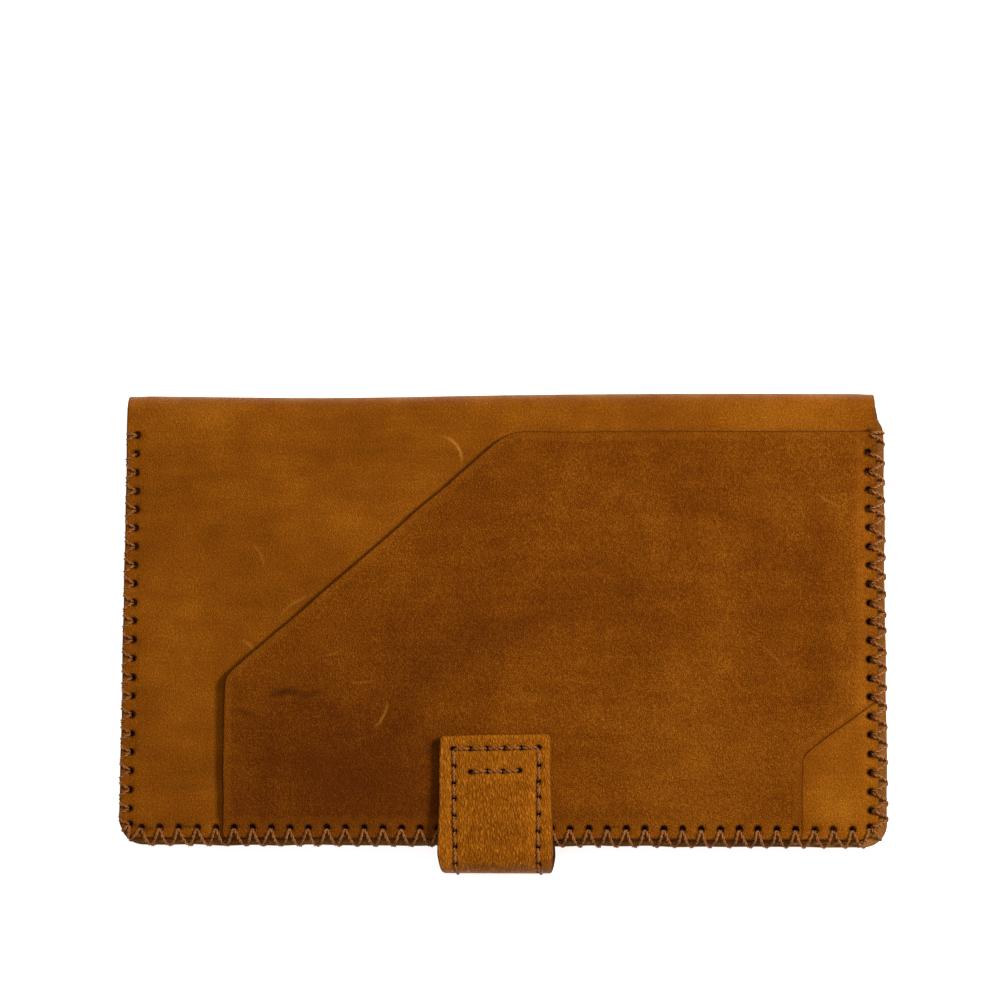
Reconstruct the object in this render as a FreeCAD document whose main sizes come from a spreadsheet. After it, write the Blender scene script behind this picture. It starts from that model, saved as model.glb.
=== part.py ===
import FreeCAD, Part
import math
import os
import Sketcher

# A laced bifold long wallet in leather, closed by a strap that comes round its opening edge.
# Millimetres. The closed wallet lies on its back cover: X runs along the fold, +Y points from the
# opening to the fold, +Z points out of the front cover. The origin is under the middle of the wallet.

V = FreeCAD.Vector
Z_AXIS = V(0, 0, 1)

DIMENSIONS = (
    # the outer leather, as seen from the front
    ("cover_left", -94.5),
    ("cover_right", 93.1),
    ("cover_bottom", -50.8),
    ("crease_y", 58.0),
    ("waist_left", -92.5),
    ("waist_right", 91.9),
    ("waist_start", 51.5),
    ("corner_radius", 5.0),
    # the back half is a little smaller, so the closed front half hides it
    ("back_left", -94.1),
    ("back_right", 93.7),
    ("back_bottom", -51.6),
    # each layer of the front half steps out past the one in front of it
    ("lining_left", -94.3),
    ("lining_right", 94.5),
    ("lining_bottom", -52.4),
    ("lining_top", 54.5),
    ("tier_left", -94.2),
    ("tier_right", 93.8),
    ("tier_bottom", -51.6),
    # leather thicknesses
    ("cover_thick", 1.5),
    ("lining_thick", 0.9),
    ("tier_thick", 0.7),
    ("panel_thick", 1.2),
    ("strap_thick", 1.1),
    ("half_gap", 1.5),
    # tops of the pockets
    ("upper_top", 28.6),
    ("middle_top", 14.6),
    ("lower_top", 0.6),
    ("bill_top", 32.4),
    ("slip_top", 9.1),
    # the outside pocket panel
    ("panel_left", -68.8),
    ("panel_top", 50.3),
    ("mouth_top_x", 1.2),
    ("mouth_bottom_y", -10.8),
    ("cut_x", 74.6),
    ("cut_low_y", -30.4),
    ("cut_high_y", -14.9),
    ("mouth_top_radius", 14.0),
    ("mouth_low_radius", 9.0),
    ("cut_radius", 3.0),
    # lacing: holes, their rows and the thread
    ("lace_hole_r", 0.75),
    ("lace_side_pitch", 4.65),
    ("lace_bottom_pitch", 4.6),
    ("front_hole_left", -91.9),
    ("front_hole_right", 90.5),
    ("front_hole_bottom", -48.2),
    ("back_hole_left", -91.5),
    ("back_hole_right", 91.1),
    ("back_hole_bottom", -49.0),
    ("lace_thread", 0.6),
    ("lace_width", 0.8),
    ("press_depth", 0.6),
    ("press_inset", 4.4),
    # the strap and its seams
    ("strap_left", -15.3),
    ("strap_right", 12.5),
    ("strap_crease_y", -56.9),
    ("strap_over", 0.55),
    ("tab_top", -25.8),
    ("tongue_top", -33.0),
    ("tongue_thick", 0.8),
    ("lip_lining_y", -52.6),
    ("tab_radius", 2.0),
    ("seam_inset", 3.2),
    ("seam_pitch", 4.05),
    ("seam_hole_r", 0.55),
    ("seam_thread", 0.4),
    ("seam_width", 0.5),
    # the closure's magnet and keeper plate
    ("magnet_x", 10.0),
    ("magnet_y", 3.6),
    ("magnet_z", 0.6),
    ("magnet_mid_y", -31.6),
    ("keeper_x", 12.0),
    ("keeper_y", 8.0),
    ("keeper_z", 0.5),
)

doc = FreeCAD.newDocument("long_wallet")
sheet = doc.addObject("Spreadsheet::Sheet", "dims")
for row, (alias, number) in enumerate(DIMENSIONS, start=1):
    sheet.set(f"A{row}", alias)
    sheet.set(f"B{row}", str(number))
    sheet.setAlias(f"B{row}", alias)
dim = dict(DIMENSIONS)

# Heights of the stacked layers, from the table up: each is a formula of the sheet's cells.
HEIGHTS = (
    ("back_lining_z", "cover_thick"),
    ("bill_z", "back_lining_z + lining_thick"),
    ("slip_z", "bill_z + lining_thick"),
    ("lower_z", "slip_z + tier_thick + half_gap"),
    ("middle_z", "lower_z + tier_thick"),
    ("upper_z", "middle_z + tier_thick"),
    ("front_lining_z", "upper_z + tier_thick"),
    ("cover_z", "front_lining_z + lining_thick"),
    ("panel_z", "cover_z + cover_thick"),
    ("tab_lining_z", "panel_z + panel_thick + strap_over"),
    ("tab_z", "tab_lining_z + strap_thick"),
    ("lip_z", "cover_thick - strap_thick"),
    ("strap_crease_z", "cover_thick + strap_thick"),
)
for row, (alias, formula) in enumerate(HEIGHTS, start=len(DIMENSIONS) + 1):
    sheet.set(f"A{row}", alias)
    sheet.set(f"B{row}", f"={formula}")
    sheet.setAlias(f"B{row}", alias)
doc.recompute()
for alias, formula in HEIGHTS:
    dim[alias] = float(getattr(sheet, alias))

parts = []
outlines = {}


def on_sheet(formula):
    """The formula with every alias read from the sheet, for setExpression."""
    words = formula.replace("(", "( ").replace(")", " )").split()
    return " ".join(f"dims.{word}" if word in dim else word for word in words)


def bind(thing, path, formula):
    thing.setExpression(path, on_sheet(formula))


# ---------------------------------------------------------------- leather panels


def flat_sketch(body, name):
    plane = next(item for item in body.Origin.OriginFeatures if item.Role == "XY_Plane")
    sketch = body.newObject("Sketcher::SketchObject", name)
    sketch.AttachmentSupport = [(plane, "")]
    sketch.MapMode = "FlatFace"
    return sketch


def place(sketch, geometry, point, x, y):
    """Holds one point of a sketch at the formulas x and y."""
    tag = f"p{geometry}_{point}"
    at = sketch.getPoint(geometry, point)
    sketch.addConstraint(Sketcher.Constraint("DistanceX", -1, 1, geometry, point, at.x))
    sketch.renameConstraint(sketch.ConstraintCount - 1, f"{tag}_x")
    bind(sketch, f"Constraints.{tag}_x", x)
    sketch.addConstraint(Sketcher.Constraint("DistanceY", -1, 1, geometry, point, at.y))
    sketch.renameConstraint(sketch.ConstraintCount - 1, f"{tag}_y")
    bind(sketch, f"Constraints.{tag}_y", y)


def outline(sketch, corners):
    """A closed polygon: it starts regular, and its corners are then held at pairs of formulas."""
    count = len(corners)
    turns = [math.tau * i / count for i in range(count)]
    spots = [V(math.cos(turn), math.sin(turn), 0) * 10 for turn in turns]
    for i, spot in enumerate(spots):
        sketch.addGeometry(Part.LineSegment(spot, spots[(i + 1) % count]), False)
    for i in range(count):
        sketch.addConstraint(Sketcher.Constraint("Coincident", i, 2, (i + 1) % count, 1))
    for i, (x, y) in enumerate(corners):
        place(sketch, i, 1, x, y)


def panel(label, corners, thick, height):
    """A flat piece of leather: an outline padded up from its underside, at a height."""
    body = doc.addObject("PartDesign::Body", label)
    body.Label = label
    sketch = flat_sketch(body, f"{label}_outline")
    outline(sketch, corners)
    pad = body.newObject("PartDesign::Pad", f"{label}_pad")
    pad.Profile = sketch
    bind(pad, "Length", thick)
    bind(body, "Placement.Base.z", height)
    doc.recompute()
    outlines[label] = sketch
    parts.append(body)
    return body


def upright_edge(shape, spot):
    """The name of the upright edge that stands nearest to a point of the outline."""
    best = None
    for i, edge in enumerate(shape.Edges, start=1):
        ends = [vertex.Point for vertex in edge.Vertexes]
        if len(ends) == 2 and abs(ends[0].x - ends[1].x) + abs(ends[0].y - ends[1].y) < 1e-6:
            gap = abs(ends[0].x - spot.x) + abs(ends[0].y - spot.y)
            if best is None or gap < best[0]:
                best = (gap, f"Edge{i}")
    return best[1]


def round_corners(body, corners, radius, name="round"):
    """Rounds the upright edges at these corners of the outline, counted from its first."""
    base = body.Tip
    spots = [outlines[body.Label].getPoint(i, 1) for i in corners]
    edges = [upright_edge(base.Shape, spot) for spot in spots]
    fillet = body.newObject("PartDesign::Fillet", f"{body.Label}_{name}")
    fillet.Base = (base, edges)
    bind(fillet, "Radius", radius)
    doc.recompute()


def cut(body, name, sketch, depth=None, from_top=None):
    """A pocket through the panel, or to a depth from its underside or its top."""
    pocket = body.newObject("PartDesign::Pocket", f"{body.Label}_{name}")
    pocket.Profile = sketch
    if depth is None:
        pocket.Type = 1
        pocket.Reversed = True
    else:
        bind(pocket, "Length", depth)
        pocket.Reversed = from_top is None
    if from_top is not None:
        bind(sketch, "AttachmentOffset.Base.z", from_top)
    before = body.Tip.Shape.Volume if body.Tip != pocket else None
    doc.recompute()
    body.Tip = pocket
    if before is not None and body.Shape.Volume > before - 1e-6:
        raise RuntimeError(f"{pocket.Name} cuts nothing")
    return pocket


def hole_row(body, name, centres, radius, across, pitch, count):
    """Holes through the panel at the centres, repeated count times along X or Y."""
    sketch = flat_sketch(body, f"{body.Label}_{name}_sketch")
    for i, (x, y) in enumerate(centres):
        sketch.addGeometry(Part.Circle(V(i * 10, 0, 0), Z_AXIS, dim[radius]), False)
        place(sketch, i, 3, x, y)
        sketch.addConstraint(Sketcher.Constraint("Radius", i, dim[radius]))
        sketch.renameConstraint(sketch.ConstraintCount - 1, f"radius_{i}")
        bind(sketch, f"Constraints.radius_{i}", radius)
    pocket = cut(body, name, sketch)
    pattern = body.newObject("PartDesign::LinearPattern", f"{body.Label}_{name}_row")
    pattern.Originals = [pocket]
    pattern.Direction = (sketch, ["H_Axis" if across else "V_Axis"])
    pattern.Occurrences = count
    bind(pattern, "Length", f"{pitch} * {count - 1}")
    body.Tip = pattern
    doc.recompute()


def cover_outline(left, right, bottom):
    """A cover: square at the opening, drawn in a little where it meets the fold."""
    return (
        (left, bottom),
        (right, bottom),
        (right, "waist_start"),
        ("waist_right", "crease_y"),
        ("waist_left", "crease_y"),
        (left, "waist_start"),
    )


def rectangle(left, right, bottom, top):
    return ((left, bottom), (right, bottom), (right, top), (left, top))


SIDE_HOLES = 22
BOTTOM_HOLES = 40
TIER_HOLES = {"lower": 11, "middle": 14, "upper": 17}
POCKET_HOLES = {"bill": 18, "slip": 13}
PANEL_FIRST_SIDE_HOLE = 7
PANEL_FIRST_BOTTOM_HOLE = 4
PANEL_LAST_BOTTOM_HOLE = 34
# the back's bottom row stops either side of the strap
STRAP_FIRST_GAP = 17
STRAP_LAST_GAP = 23


def front_holes(body, side_count):
    """The three rows of lacing holes through one layer of the front half."""
    sides = (
        ("front_hole_left", "front_hole_bottom"),
        ("front_hole_right", "front_hole_bottom"),
    )
    hole_row(body, "sides", sides, "lace_hole_r", False, "lace_side_pitch", side_count)
    start = (("front_hole_right - lace_bottom_pitch * 39", "front_hole_bottom"),)
    hole_row(body, "bottom", start, "lace_hole_r", True, "lace_bottom_pitch", BOTTOM_HOLES - 1)


def back_holes(body, side_count):
    """The rows of lacing holes through one layer of the back half, clear of the strap."""
    sides = (
        ("back_hole_left", "back_hole_bottom"),
        ("back_hole_right", "back_hole_bottom"),
    )
    hole_row(body, "sides", sides, "lace_hole_r", False, "lace_side_pitch", side_count)
    left = (("back_hole_right - lace_bottom_pitch * 39", "back_hole_bottom"),)
    left_count = BOTTOM_HOLES - 1 - STRAP_LAST_GAP
    hole_row(body, "bottom_left", left, "lace_hole_r", True, "lace_bottom_pitch", left_count)
    right_start = f"back_hole_right - lace_bottom_pitch * {STRAP_FIRST_GAP - 1}"
    right = ((right_start, "back_hole_bottom"),)
    right_count = STRAP_FIRST_GAP - 1
    hole_row(body, "bottom_right", right, "lace_hole_r", True, "lace_bottom_pitch", right_count)


def half_panel(label, corners, thick, height):
    """A panel of one half, whose first two corners are at the opening and rounded."""
    body = panel(label, corners, thick, height)
    round_corners(body, (0, 1), "corner_radius")
    return body


# ---------------------------------------------------------------- back half

back_outline = cover_outline("back_left", "back_right", "back_bottom")
back_cover = half_panel("back_cover", back_outline, "cover_thick", "0")
back_holes(back_cover, SIDE_HOLES)

# The border is pressed up under the lacing, so the thread lies level with the back cover.
border = flat_sketch(back_cover, "back_cover_border")
outline(
    border,
    (
        ("back_left - 1", "back_bottom - 1"),
        ("back_right + 1", "back_bottom - 1"),
        ("back_right + 1", "waist_start - 1.5"),
        ("back_right - press_inset", "waist_start - 1.5"),
        ("back_right - press_inset", "back_bottom + press_inset"),
        ("back_left + press_inset", "back_bottom + press_inset"),
        ("back_left + press_inset", "waist_start - 1.5"),
        ("back_left - 1", "waist_start - 1.5"),
    ),
)
cut(back_cover, "press", border, depth="press_depth")

# The inside is thinned for the tongue of the strap.
skive = flat_sketch(back_cover, "back_cover_skive_sketch")
outline(skive, rectangle("strap_left", "strap_right", "back_bottom - 1", "tongue_top"))
cut(back_cover, "skive", skive, depth="tongue_thick", from_top="cover_thick")

lining_outline = rectangle("back_left", "back_right", "back_bottom", "lining_top")
back_lining = half_panel("back_lining", lining_outline, "lining_thick", "back_lining_z")
back_holes(back_lining, SIDE_HOLES)

for label, top, thick, height in (
    ("bill", "bill_top", "lining_thick", "bill_z"),
    ("slip", "slip_top", "tier_thick", "slip_z"),
):
    shape = rectangle("back_left", "back_right", "back_bottom", top)
    pocket_body = half_panel(f"{label}_pocket", shape, thick, height)
    back_holes(pocket_body, POCKET_HOLES[label])

# ---------------------------------------------------------------- front half

front_outline = cover_outline("cover_left", "cover_right", "cover_bottom")
front_cover = half_panel("front_cover", front_outline, "cover_thick", "cover_z")
front_holes(front_cover, SIDE_HOLES)

lining_outline = rectangle("lining_left", "lining_right", "lining_bottom", "lining_top")
front_lining = half_panel("front_lining", lining_outline, "lining_thick", "front_lining_z")
front_holes(front_lining, SIDE_HOLES)

for tier in ("lower", "middle", "upper"):
    shape = rectangle("tier_left", "tier_right", "tier_bottom", f"{tier}_top")
    tier_body = half_panel(f"card_pocket_{tier}", shape, "tier_thick", f"{tier}_z")
    front_holes(tier_body, TIER_HOLES[tier])

panel_outline = (
    ("mouth_top_x", "panel_top"),
    ("panel_left", "mouth_bottom_y"),
    ("panel_left", "cover_bottom"),
    ("cut_x", "cover_bottom"),
    ("cut_x", "cut_low_y"),
    ("cover_right", "cut_high_y"),
    ("cover_right", "panel_top"),
)
pocket_panel = panel("front_pocket_panel", panel_outline, "panel_thick", "panel_z")
round_corners(pocket_panel, (0,), "mouth_top_radius", "mouth_top")
round_corners(pocket_panel, (1,), "mouth_low_radius", "mouth_low")
round_corners(pocket_panel, (4,), "cut_radius", "cut_round")
side_start = f"front_hole_bottom + lace_side_pitch * {PANEL_FIRST_SIDE_HOLE}"
hole_row(
    pocket_panel,
    "side",
    (("front_hole_right", side_start),),
    "lace_hole_r",
    False,
    "lace_side_pitch",
    SIDE_HOLES - PANEL_FIRST_SIDE_HOLE,
)
bottom_start = f"front_hole_right - lace_bottom_pitch * {PANEL_LAST_BOTTOM_HOLE}"
hole_row(
    pocket_panel,
    "bottom",
    ((bottom_start, "front_hole_bottom"),),
    "lace_hole_r",
    True,
    "lace_bottom_pitch",
    PANEL_LAST_BOTTOM_HOLE - PANEL_FIRST_BOTTOM_HOLE + 1,
)

# The lacing presses the panel's two laced edges down.
for name, corners in (
    (
        "press_bottom",
        rectangle(
            "panel_left - 1", "cut_x + 1", "cover_bottom - 1", "cover_bottom + press_inset"
        ),
    ),
    (
        "press_side",
        rectangle("cover_right - press_inset", "cover_right + 1", "cut_high_y - 5", "panel_top + 1"),
    ),
):
    press = flat_sketch(pocket_panel, f"panel_{name}")
    outline(press, corners)
    cut(pocket_panel, name, press, depth="press_depth", from_top="panel_thick")

# The steel keeper lies in a shallow bed on the panel's underside.
strap_middle = "( strap_left + strap_right ) / 2"


def bed(body, name, length, width, depth, from_top=None):
    """A bed for the magnet or the keeper, under the middle of the tab."""
    sketch = flat_sketch(body, f"{body.Label}_{name}_sketch")
    shape = rectangle(
        f"{strap_middle} - {length} / 2",
        f"{strap_middle} + {length} / 2",
        f"magnet_mid_y - {width} / 2",
        f"magnet_mid_y + {width} / 2",
    )
    outline(sketch, shape)
    cut(body, name, sketch, depth=depth, from_top=from_top)
    return shape


keeper_shape = bed(pocket_panel, "keeper_bed", "keeper_x", "keeper_y", "keeper_z")
panel("keeper_plate", keeper_shape, "keeper_z", "panel_z")

# ---------------------------------------------------------------- spine


def box(label, x, length, y, width, z, height):
    """A plain block of leather between formulas."""
    block = doc.addObject("Part::Box", label)
    block.Label = label
    bind(block, "Length", length)
    bind(block, "Width", width)
    bind(block, "Height", height)
    bind(block, "Placement.Base.x", x)
    bind(block, "Placement.Base.y", y)
    bind(block, "Placement.Base.z", z)
    return block


parts.append(
    box(
        "spine_leather",
        "waist_left",
        "waist_right - waist_left",
        "crease_y",
        "cover_thick",
        "cover_thick",
        "cover_z - cover_thick",
    )
)

# ---------------------------------------------------------------- closure strap

STRAP_WIDTH = "strap_right - strap_left"

# The strap's outer layer leaves the back half as a lip, and runs inside as a thinned tongue.
lip = box(
    "strap_lip",
    "strap_left",
    STRAP_WIDTH,
    "strap_crease_y",
    "back_bottom - strap_crease_y",
    "lip_z",
    "strap_thick",
)
tongue = box(
    "strap_tongue",
    "strap_left",
    STRAP_WIDTH,
    "back_bottom",
    "tongue_top - back_bottom",
    "cover_thick - tongue_thick",
    "tongue_thick",
)
anchor = doc.addObject("Part::Fuse", "strap_anchor_joined")
anchor.Base = lip
anchor.Tool = tongue
anchor_lining = box(
    "strap_anchor_lining",
    "strap_left",
    STRAP_WIDTH,
    "strap_crease_y",
    "lip_lining_y - strap_crease_y",
    "cover_thick",
    "strap_thick",
)
wrap_outer = box(
    "strap_wrap_blank",
    "strap_left",
    STRAP_WIDTH,
    "strap_crease_y - strap_thick * 2",
    "strap_thick",
    "strap_crease_z",
    "tab_lining_z - strap_crease_z",
)
wrap_lining = box(
    "strap_wrap_lining_blank",
    "strap_left",
    STRAP_WIDTH,
    "strap_crease_y - strap_thick",
    "strap_thick",
    "strap_crease_z",
    "tab_lining_z - strap_crease_z",
)

tab_shape = rectangle("strap_left", "strap_right", "strap_crease_y", "tab_top")
tab_upper = panel("closure_tab", tab_shape, "strap_thick", "tab_z")
round_corners(tab_upper, (2, 3), "tab_radius")
tab_under = panel("closure_tab_lining", tab_shape, "strap_thick", "tab_lining_z")
round_corners(tab_under, (2, 3), "tab_radius")

TAB_SIDE_HOLES = 7
TAB_ROW_HOLES = 6
TACK_HOLES = 4
seam_left = "strap_left + seam_inset"
seam_right = "strap_right - seam_inset"
seam_top = "tab_top - seam_inset"
row_pitch = "( strap_right - strap_left - seam_inset * 2 ) / 5"
tack_left = f"{strap_middle} - seam_pitch * 1.5"
tack_y = f"{seam_top} - seam_pitch * 1.4"
side_start = f"{seam_top} - seam_pitch * {TAB_SIDE_HOLES - 1}"
for layer in (tab_upper, tab_under):
    columns = ((seam_left, side_start), (seam_right, side_start))
    hole_row(layer, "sides", columns, "seam_hole_r", False, "seam_pitch", TAB_SIDE_HOLES)
    first_in_row = ((f"{seam_left} + {row_pitch}", seam_top),)
    hole_row(layer, "top", first_in_row, "seam_hole_r", True, row_pitch, TAB_ROW_HOLES - 2)
    tack_start = ((tack_left, tack_y),)
    hole_row(layer, "tack", tack_start, "seam_hole_r", True, "seam_pitch", TACK_HOLES)

magnet_shape = bed(
    tab_under, "magnet_bed", "magnet_x", "magnet_y", "magnet_z", from_top="strap_thick"
)
panel("tab_magnet", magnet_shape, "magnet_z", "tab_z - magnet_z")

# ---------------------------------------------------------------- threads


def thread_loop(start, end, low, high, normal, wire, width):
    """One stitch: a square loop of thread from start to end, closed over both faces."""
    along = (end - start).normalize()
    side = normal.cross(along)
    half = wire / 2
    reach = (end - start).Length

    def frame(grow):
        corners = (
            (-grow, low - half - grow),
            (reach + grow, low - half - grow),
            (reach + grow, high + half + grow),
            (-grow, high + half + grow),
        )
        points = [start + along * u + normal * w - side * (width / 2) for u, w in corners]
        return Part.Face(Part.makePolygon(points + points[:1]))

    return frame(half).cut(frame(-half)).Faces[0].extrude(side * width)


def add_feature(label, solids):
    """A group of separate solids as one sub-part."""
    feature = doc.addObject("Part::Feature", label)
    feature.Label = label
    feature.Shape = Part.makeCompound(solids)
    feature.Placement = FreeCAD.Placement()
    parts.append(feature)


def lace(hole, edge, low, high):
    """One lacing stitch, from a hole round the edge of the stack."""
    start = V(hole[0], hole[1], 0)
    end = V(edge[0], edge[1], 0)
    return thread_loop(start, end, low, high, Z_AXIS, dim["lace_thread"], dim["lace_width"])


def front_faces(x, y):
    """Inner and outer faces of the front half's stack where a stitch lies."""
    reach = dim["lace_width"]
    low = dim["front_lining_z"]
    for tier in ("upper", "middle", "lower"):
        if y - reach < dim[f"{tier}_top"]:
            low = dim[f"{tier}_z"]
    beside = y > dim["cut_high_y"] - 2.5 and x > dim["cut_x"]
    below = dim["panel_left"] < x < dim["cut_x"] and y < dim["mouth_bottom_y"]
    high = dim["panel_z"]
    if beside or below:
        high += dim["panel_thick"] - dim["press_depth"]
    return low, high


def back_faces(y):
    """Outer and inner faces of the back half's stack where a stitch lies."""
    reach = dim["lace_width"]
    high = dim["bill_z"]
    if y - reach < dim["bill_top"]:
        high = dim["slip_z"]
    if y - reach < dim["slip_top"]:
        high = dim["slip_z"] + dim["tier_thick"]
    return dim["press_depth"], high


half_wire = dim["lace_thread"] / 2
front_laces = []
for k in range(SIDE_HOLES):
    y = dim["front_hole_bottom"] + k * dim["lace_side_pitch"]
    x = dim["front_hole_left"]
    front_laces.append(lace((x, y), (dim["cover_left"] - half_wire, y), *front_faces(x, y)))
    if k > 0:
        x = dim["front_hole_right"]
        front_laces.append(lace((x, y), (dim["lining_right"] + half_wire, y), *front_faces(x, y)))
for j in range(BOTTOM_HOLES):
    x = dim["front_hole_right"] - j * dim["lace_bottom_pitch"]
    y = dim["front_hole_bottom"]
    front_laces.append(lace((x, y), (x, dim["lining_bottom"] - half_wire), *front_faces(x, y)))
add_feature("front_edge_lacing", front_laces)

back_laces = []
for k in range(SIDE_HOLES):
    y = dim["back_hole_bottom"] + k * dim["lace_side_pitch"]
    x = dim["back_hole_left"]
    back_laces.append(lace((x, y), (dim["back_left"] - half_wire, y), *back_faces(y)))
    if k > 0:
        x = dim["back_hole_right"]
        back_laces.append(lace((x, y), (dim["back_right"] + half_wire, y), *back_faces(y)))
for j in range(BOTTOM_HOLES):
    if not STRAP_FIRST_GAP <= j <= STRAP_LAST_GAP:
        x = dim["back_hole_right"] - j * dim["lace_bottom_pitch"]
        y = dim["back_hole_bottom"]
        back_laces.append(lace((x, y), (x, dim["back_bottom"] - half_wire), *back_faces(y)))
add_feature("back_edge_lacing", back_laces)


def seam(points, low, high, normal=Z_AXIS):
    """A row of saddle stitches: a loop from each hole to the next, two posts to a hole."""
    wire = dim["seam_thread"]
    inset = wire / 2 + 0.08
    stitches = []
    for a, b in zip(points, points[1:]):
        step = (b - a).normalize() * inset
        ends = (a + step, b - step)
        stitches.append(thread_loop(*ends, low, high, normal, wire, dim["seam_width"]))
    return stitches


left_x = dim["strap_left"] + dim["seam_inset"]
right_x = dim["strap_right"] - dim["seam_inset"]
top_y = dim["tab_top"] - dim["seam_inset"]
pitch = dim["seam_pitch"]
row_step = (right_x - left_x) / (TAB_ROW_HOLES - 1)
down_left = [V(left_x, top_y - k * pitch, 0) for k in range(TAB_SIDE_HOLES)]
across = [V(left_x + k * row_step, top_y, 0) for k in range(TAB_ROW_HOLES)]
down_right = [V(right_x, top_y - k * pitch, 0) for k in range(TAB_SIDE_HOLES)]
tab_faces = (dim["tab_lining_z"], dim["tab_z"] + dim["strap_thick"])
tab_seam = seam(down_left, *tab_faces)
tab_seam += seam(down_right, *tab_faces)
tab_seam += seam(across[1:-1], *tab_faces)
add_feature("tab_edge_stitching", tab_seam)

tack_x = (left_x + right_x) / 2 - pitch * 1.5
tack_line = top_y - pitch * 1.4
tack = [V(tack_x + k * pitch, tack_line, 0) for k in range(TACK_HOLES)]
add_feature("tab_tack_stitching", seam(tack, *tab_faces))

# ---------------------------------------------------------------- sewn strap pieces


def round_hole(middle, axis, depth, radius):
    return Part.makeCylinder(radius, depth * 2, middle - axis * depth, axis)


def drilled(label, blank, tools):
    """A blank with its needle holes: a Part::Cut by a group of cylinders."""
    drill = doc.addObject("Part::Feature", f"{label}_needles")
    drill.Shape = Part.makeCompound(tools)
    piece = doc.addObject("Part::Cut", label)
    piece.Label = label
    piece.Base = blank
    piece.Tool = drill
    parts.append(piece)


Y_AXIS = V(0, 1, 0)
WRAP_HOLES = 3
WRAP_PITCH = 3.0
wrap_middle_z = (dim["strap_crease_z"] + dim["tab_lining_z"]) / 2
wrap_outer_y = dim["strap_crease_y"] - 2 * dim["strap_thick"]
wrap_rows = []
for x in (left_x, right_x):
    heights = [wrap_middle_z + (k - 1) * WRAP_PITCH for k in range(WRAP_HOLES)]
    wrap_rows.append([V(x, 0, z) for z in heights])
wrap_tools = [
    round_hole(V(p.x, dim["strap_crease_y"], p.z), Y_AXIS, 5.0, dim["seam_hole_r"])
    for row in wrap_rows
    for p in row
]
drilled("strap_wrap", wrap_outer, wrap_tools)
drilled("strap_wrap_lining", wrap_lining, wrap_tools)
wrap_seam = []
for row in wrap_rows:
    wrap_seam += seam(row, wrap_outer_y, dim["strap_crease_y"], Y_AXIS)
add_feature("strap_wrap_stitching", wrap_seam)

# The anchor is sewn to the back cover by a box of stitches, sunk level with both faces.
ANCHOR_HOLES = 4
anchor_top = dim["tongue_top"] - dim["seam_inset"]
anchor_left = [V(left_x, anchor_top - k * pitch, 0) for k in range(ANCHOR_HOLES)]
anchor_right = [V(right_x, anchor_top - k * pitch, 0) for k in range(ANCHOR_HOLES)]
anchor_row = [V(left_x + k * row_step, anchor_top, 0) for k in range(TAB_ROW_HOLES)]
anchor_needles = anchor_left + anchor_right + anchor_row[1:-1]
anchor_tools = [round_hole(p, Z_AXIS, 4.0, dim["seam_hole_r"]) for p in anchor_needles]
groove_depth = dim["seam_thread"]
groove_half = dim["seam_width"] / 2 + 0.2


def groove(first, last, z, depth):
    """A square groove along a row of stitches."""
    low = V(min(first.x, last.x) - groove_half, min(first.y, last.y) - groove_half, z)
    high = V(max(first.x, last.x) + groove_half, max(first.y, last.y) + groove_half, z)
    return Part.makeBox(high.x - low.x, high.y - low.y, depth, low)


anchor_runs = (anchor_left, anchor_right, anchor_row)
under = [groove(run[0], run[-1], -1.0, 1.0 + groove_depth) for run in anchor_runs]
over_z = dim["cover_thick"] - groove_depth
over = [groove(run[0], run[-1], over_z, 1.0) for run in anchor_runs]
parts.remove(back_cover)
back_cover.Label = "back_cover_blank"
drilled("back_cover", back_cover, anchor_tools + under)
drilled("strap_anchor", anchor, anchor_tools + over)
parts.append(anchor_lining)
anchor_faces = (groove_depth, over_z)
anchor_seam = seam(anchor_left, *anchor_faces)
anchor_seam += seam(anchor_right, *anchor_faces)
anchor_seam += seam(anchor_row[1:-1], *anchor_faces)
add_feature("strap_anchor_stitching", anchor_seam)

# ---------------------------------------------------------------- card divider seam

DIVIDER_HOLES = 18
DIVIDER_FIRST_Y = -43.0
divider_points = [V(0, DIVIDER_FIRST_Y + k * pitch, 0) for k in range(DIVIDER_HOLES)]
divider_tools = [round_hole(p, Z_AXIS, 30.0, dim["seam_hole_r"]) for p in divider_points]
cover_face = dim["front_lining_z"] + dim["lining_thick"]
for body in [part for part in parts if part.Label.startswith("card_pocket_")]:
    name = body.Label
    parts.remove(body)
    body.Label = f"{name}_blank"
    drilled(name, body, divider_tools)
divider_groove = groove(
    divider_points[0], divider_points[-1], cover_face - groove_depth, groove_depth + 1
)
parts.remove(front_lining)
front_lining.Label = "front_lining_blank"
drilled("front_lining", front_lining, divider_tools + [divider_groove])
divider = []
for a, b in zip(divider_points, divider_points[1:]):
    low = dim["front_lining_z"]
    for tier in ("upper", "middle", "lower"):
        if a.y < dim[f"{tier}_top"] + 0.3:
            low = dim[f"{tier}_z"]
    divider += seam((a, b), low, cover_face - groove_depth)
add_feature("card_divider_stitching", divider)

# ---------------------------------------------------------------- checks and files

doc.recompute()
for thing in doc.Objects:
    if "Invalid" in thing.State or "Error" in thing.State:
        raise RuntimeError(f"{thing.Label} failed to recompute")
os.makedirs("parts", exist_ok=True)
for part in parts:
    shape = part.Shape
    if shape.isNull() or not shape.isValid() or not shape.Solids:
        raise RuntimeError(f"{part.Label} has no sound shape")
    shape.exportStep(os.path.join("parts", f"{part.Label}.step"))
    print(part.Label, len(shape.Solids), round(shape.Volume, 1))
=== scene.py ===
"""A long leather wallet with a laced edge and a strap closure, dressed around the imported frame."""

import math

import bmesh
import bpy
import numpy as np
from mathutils import Matrix, Vector
from mathutils.geometry import delaunay_2d_cdt


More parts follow.
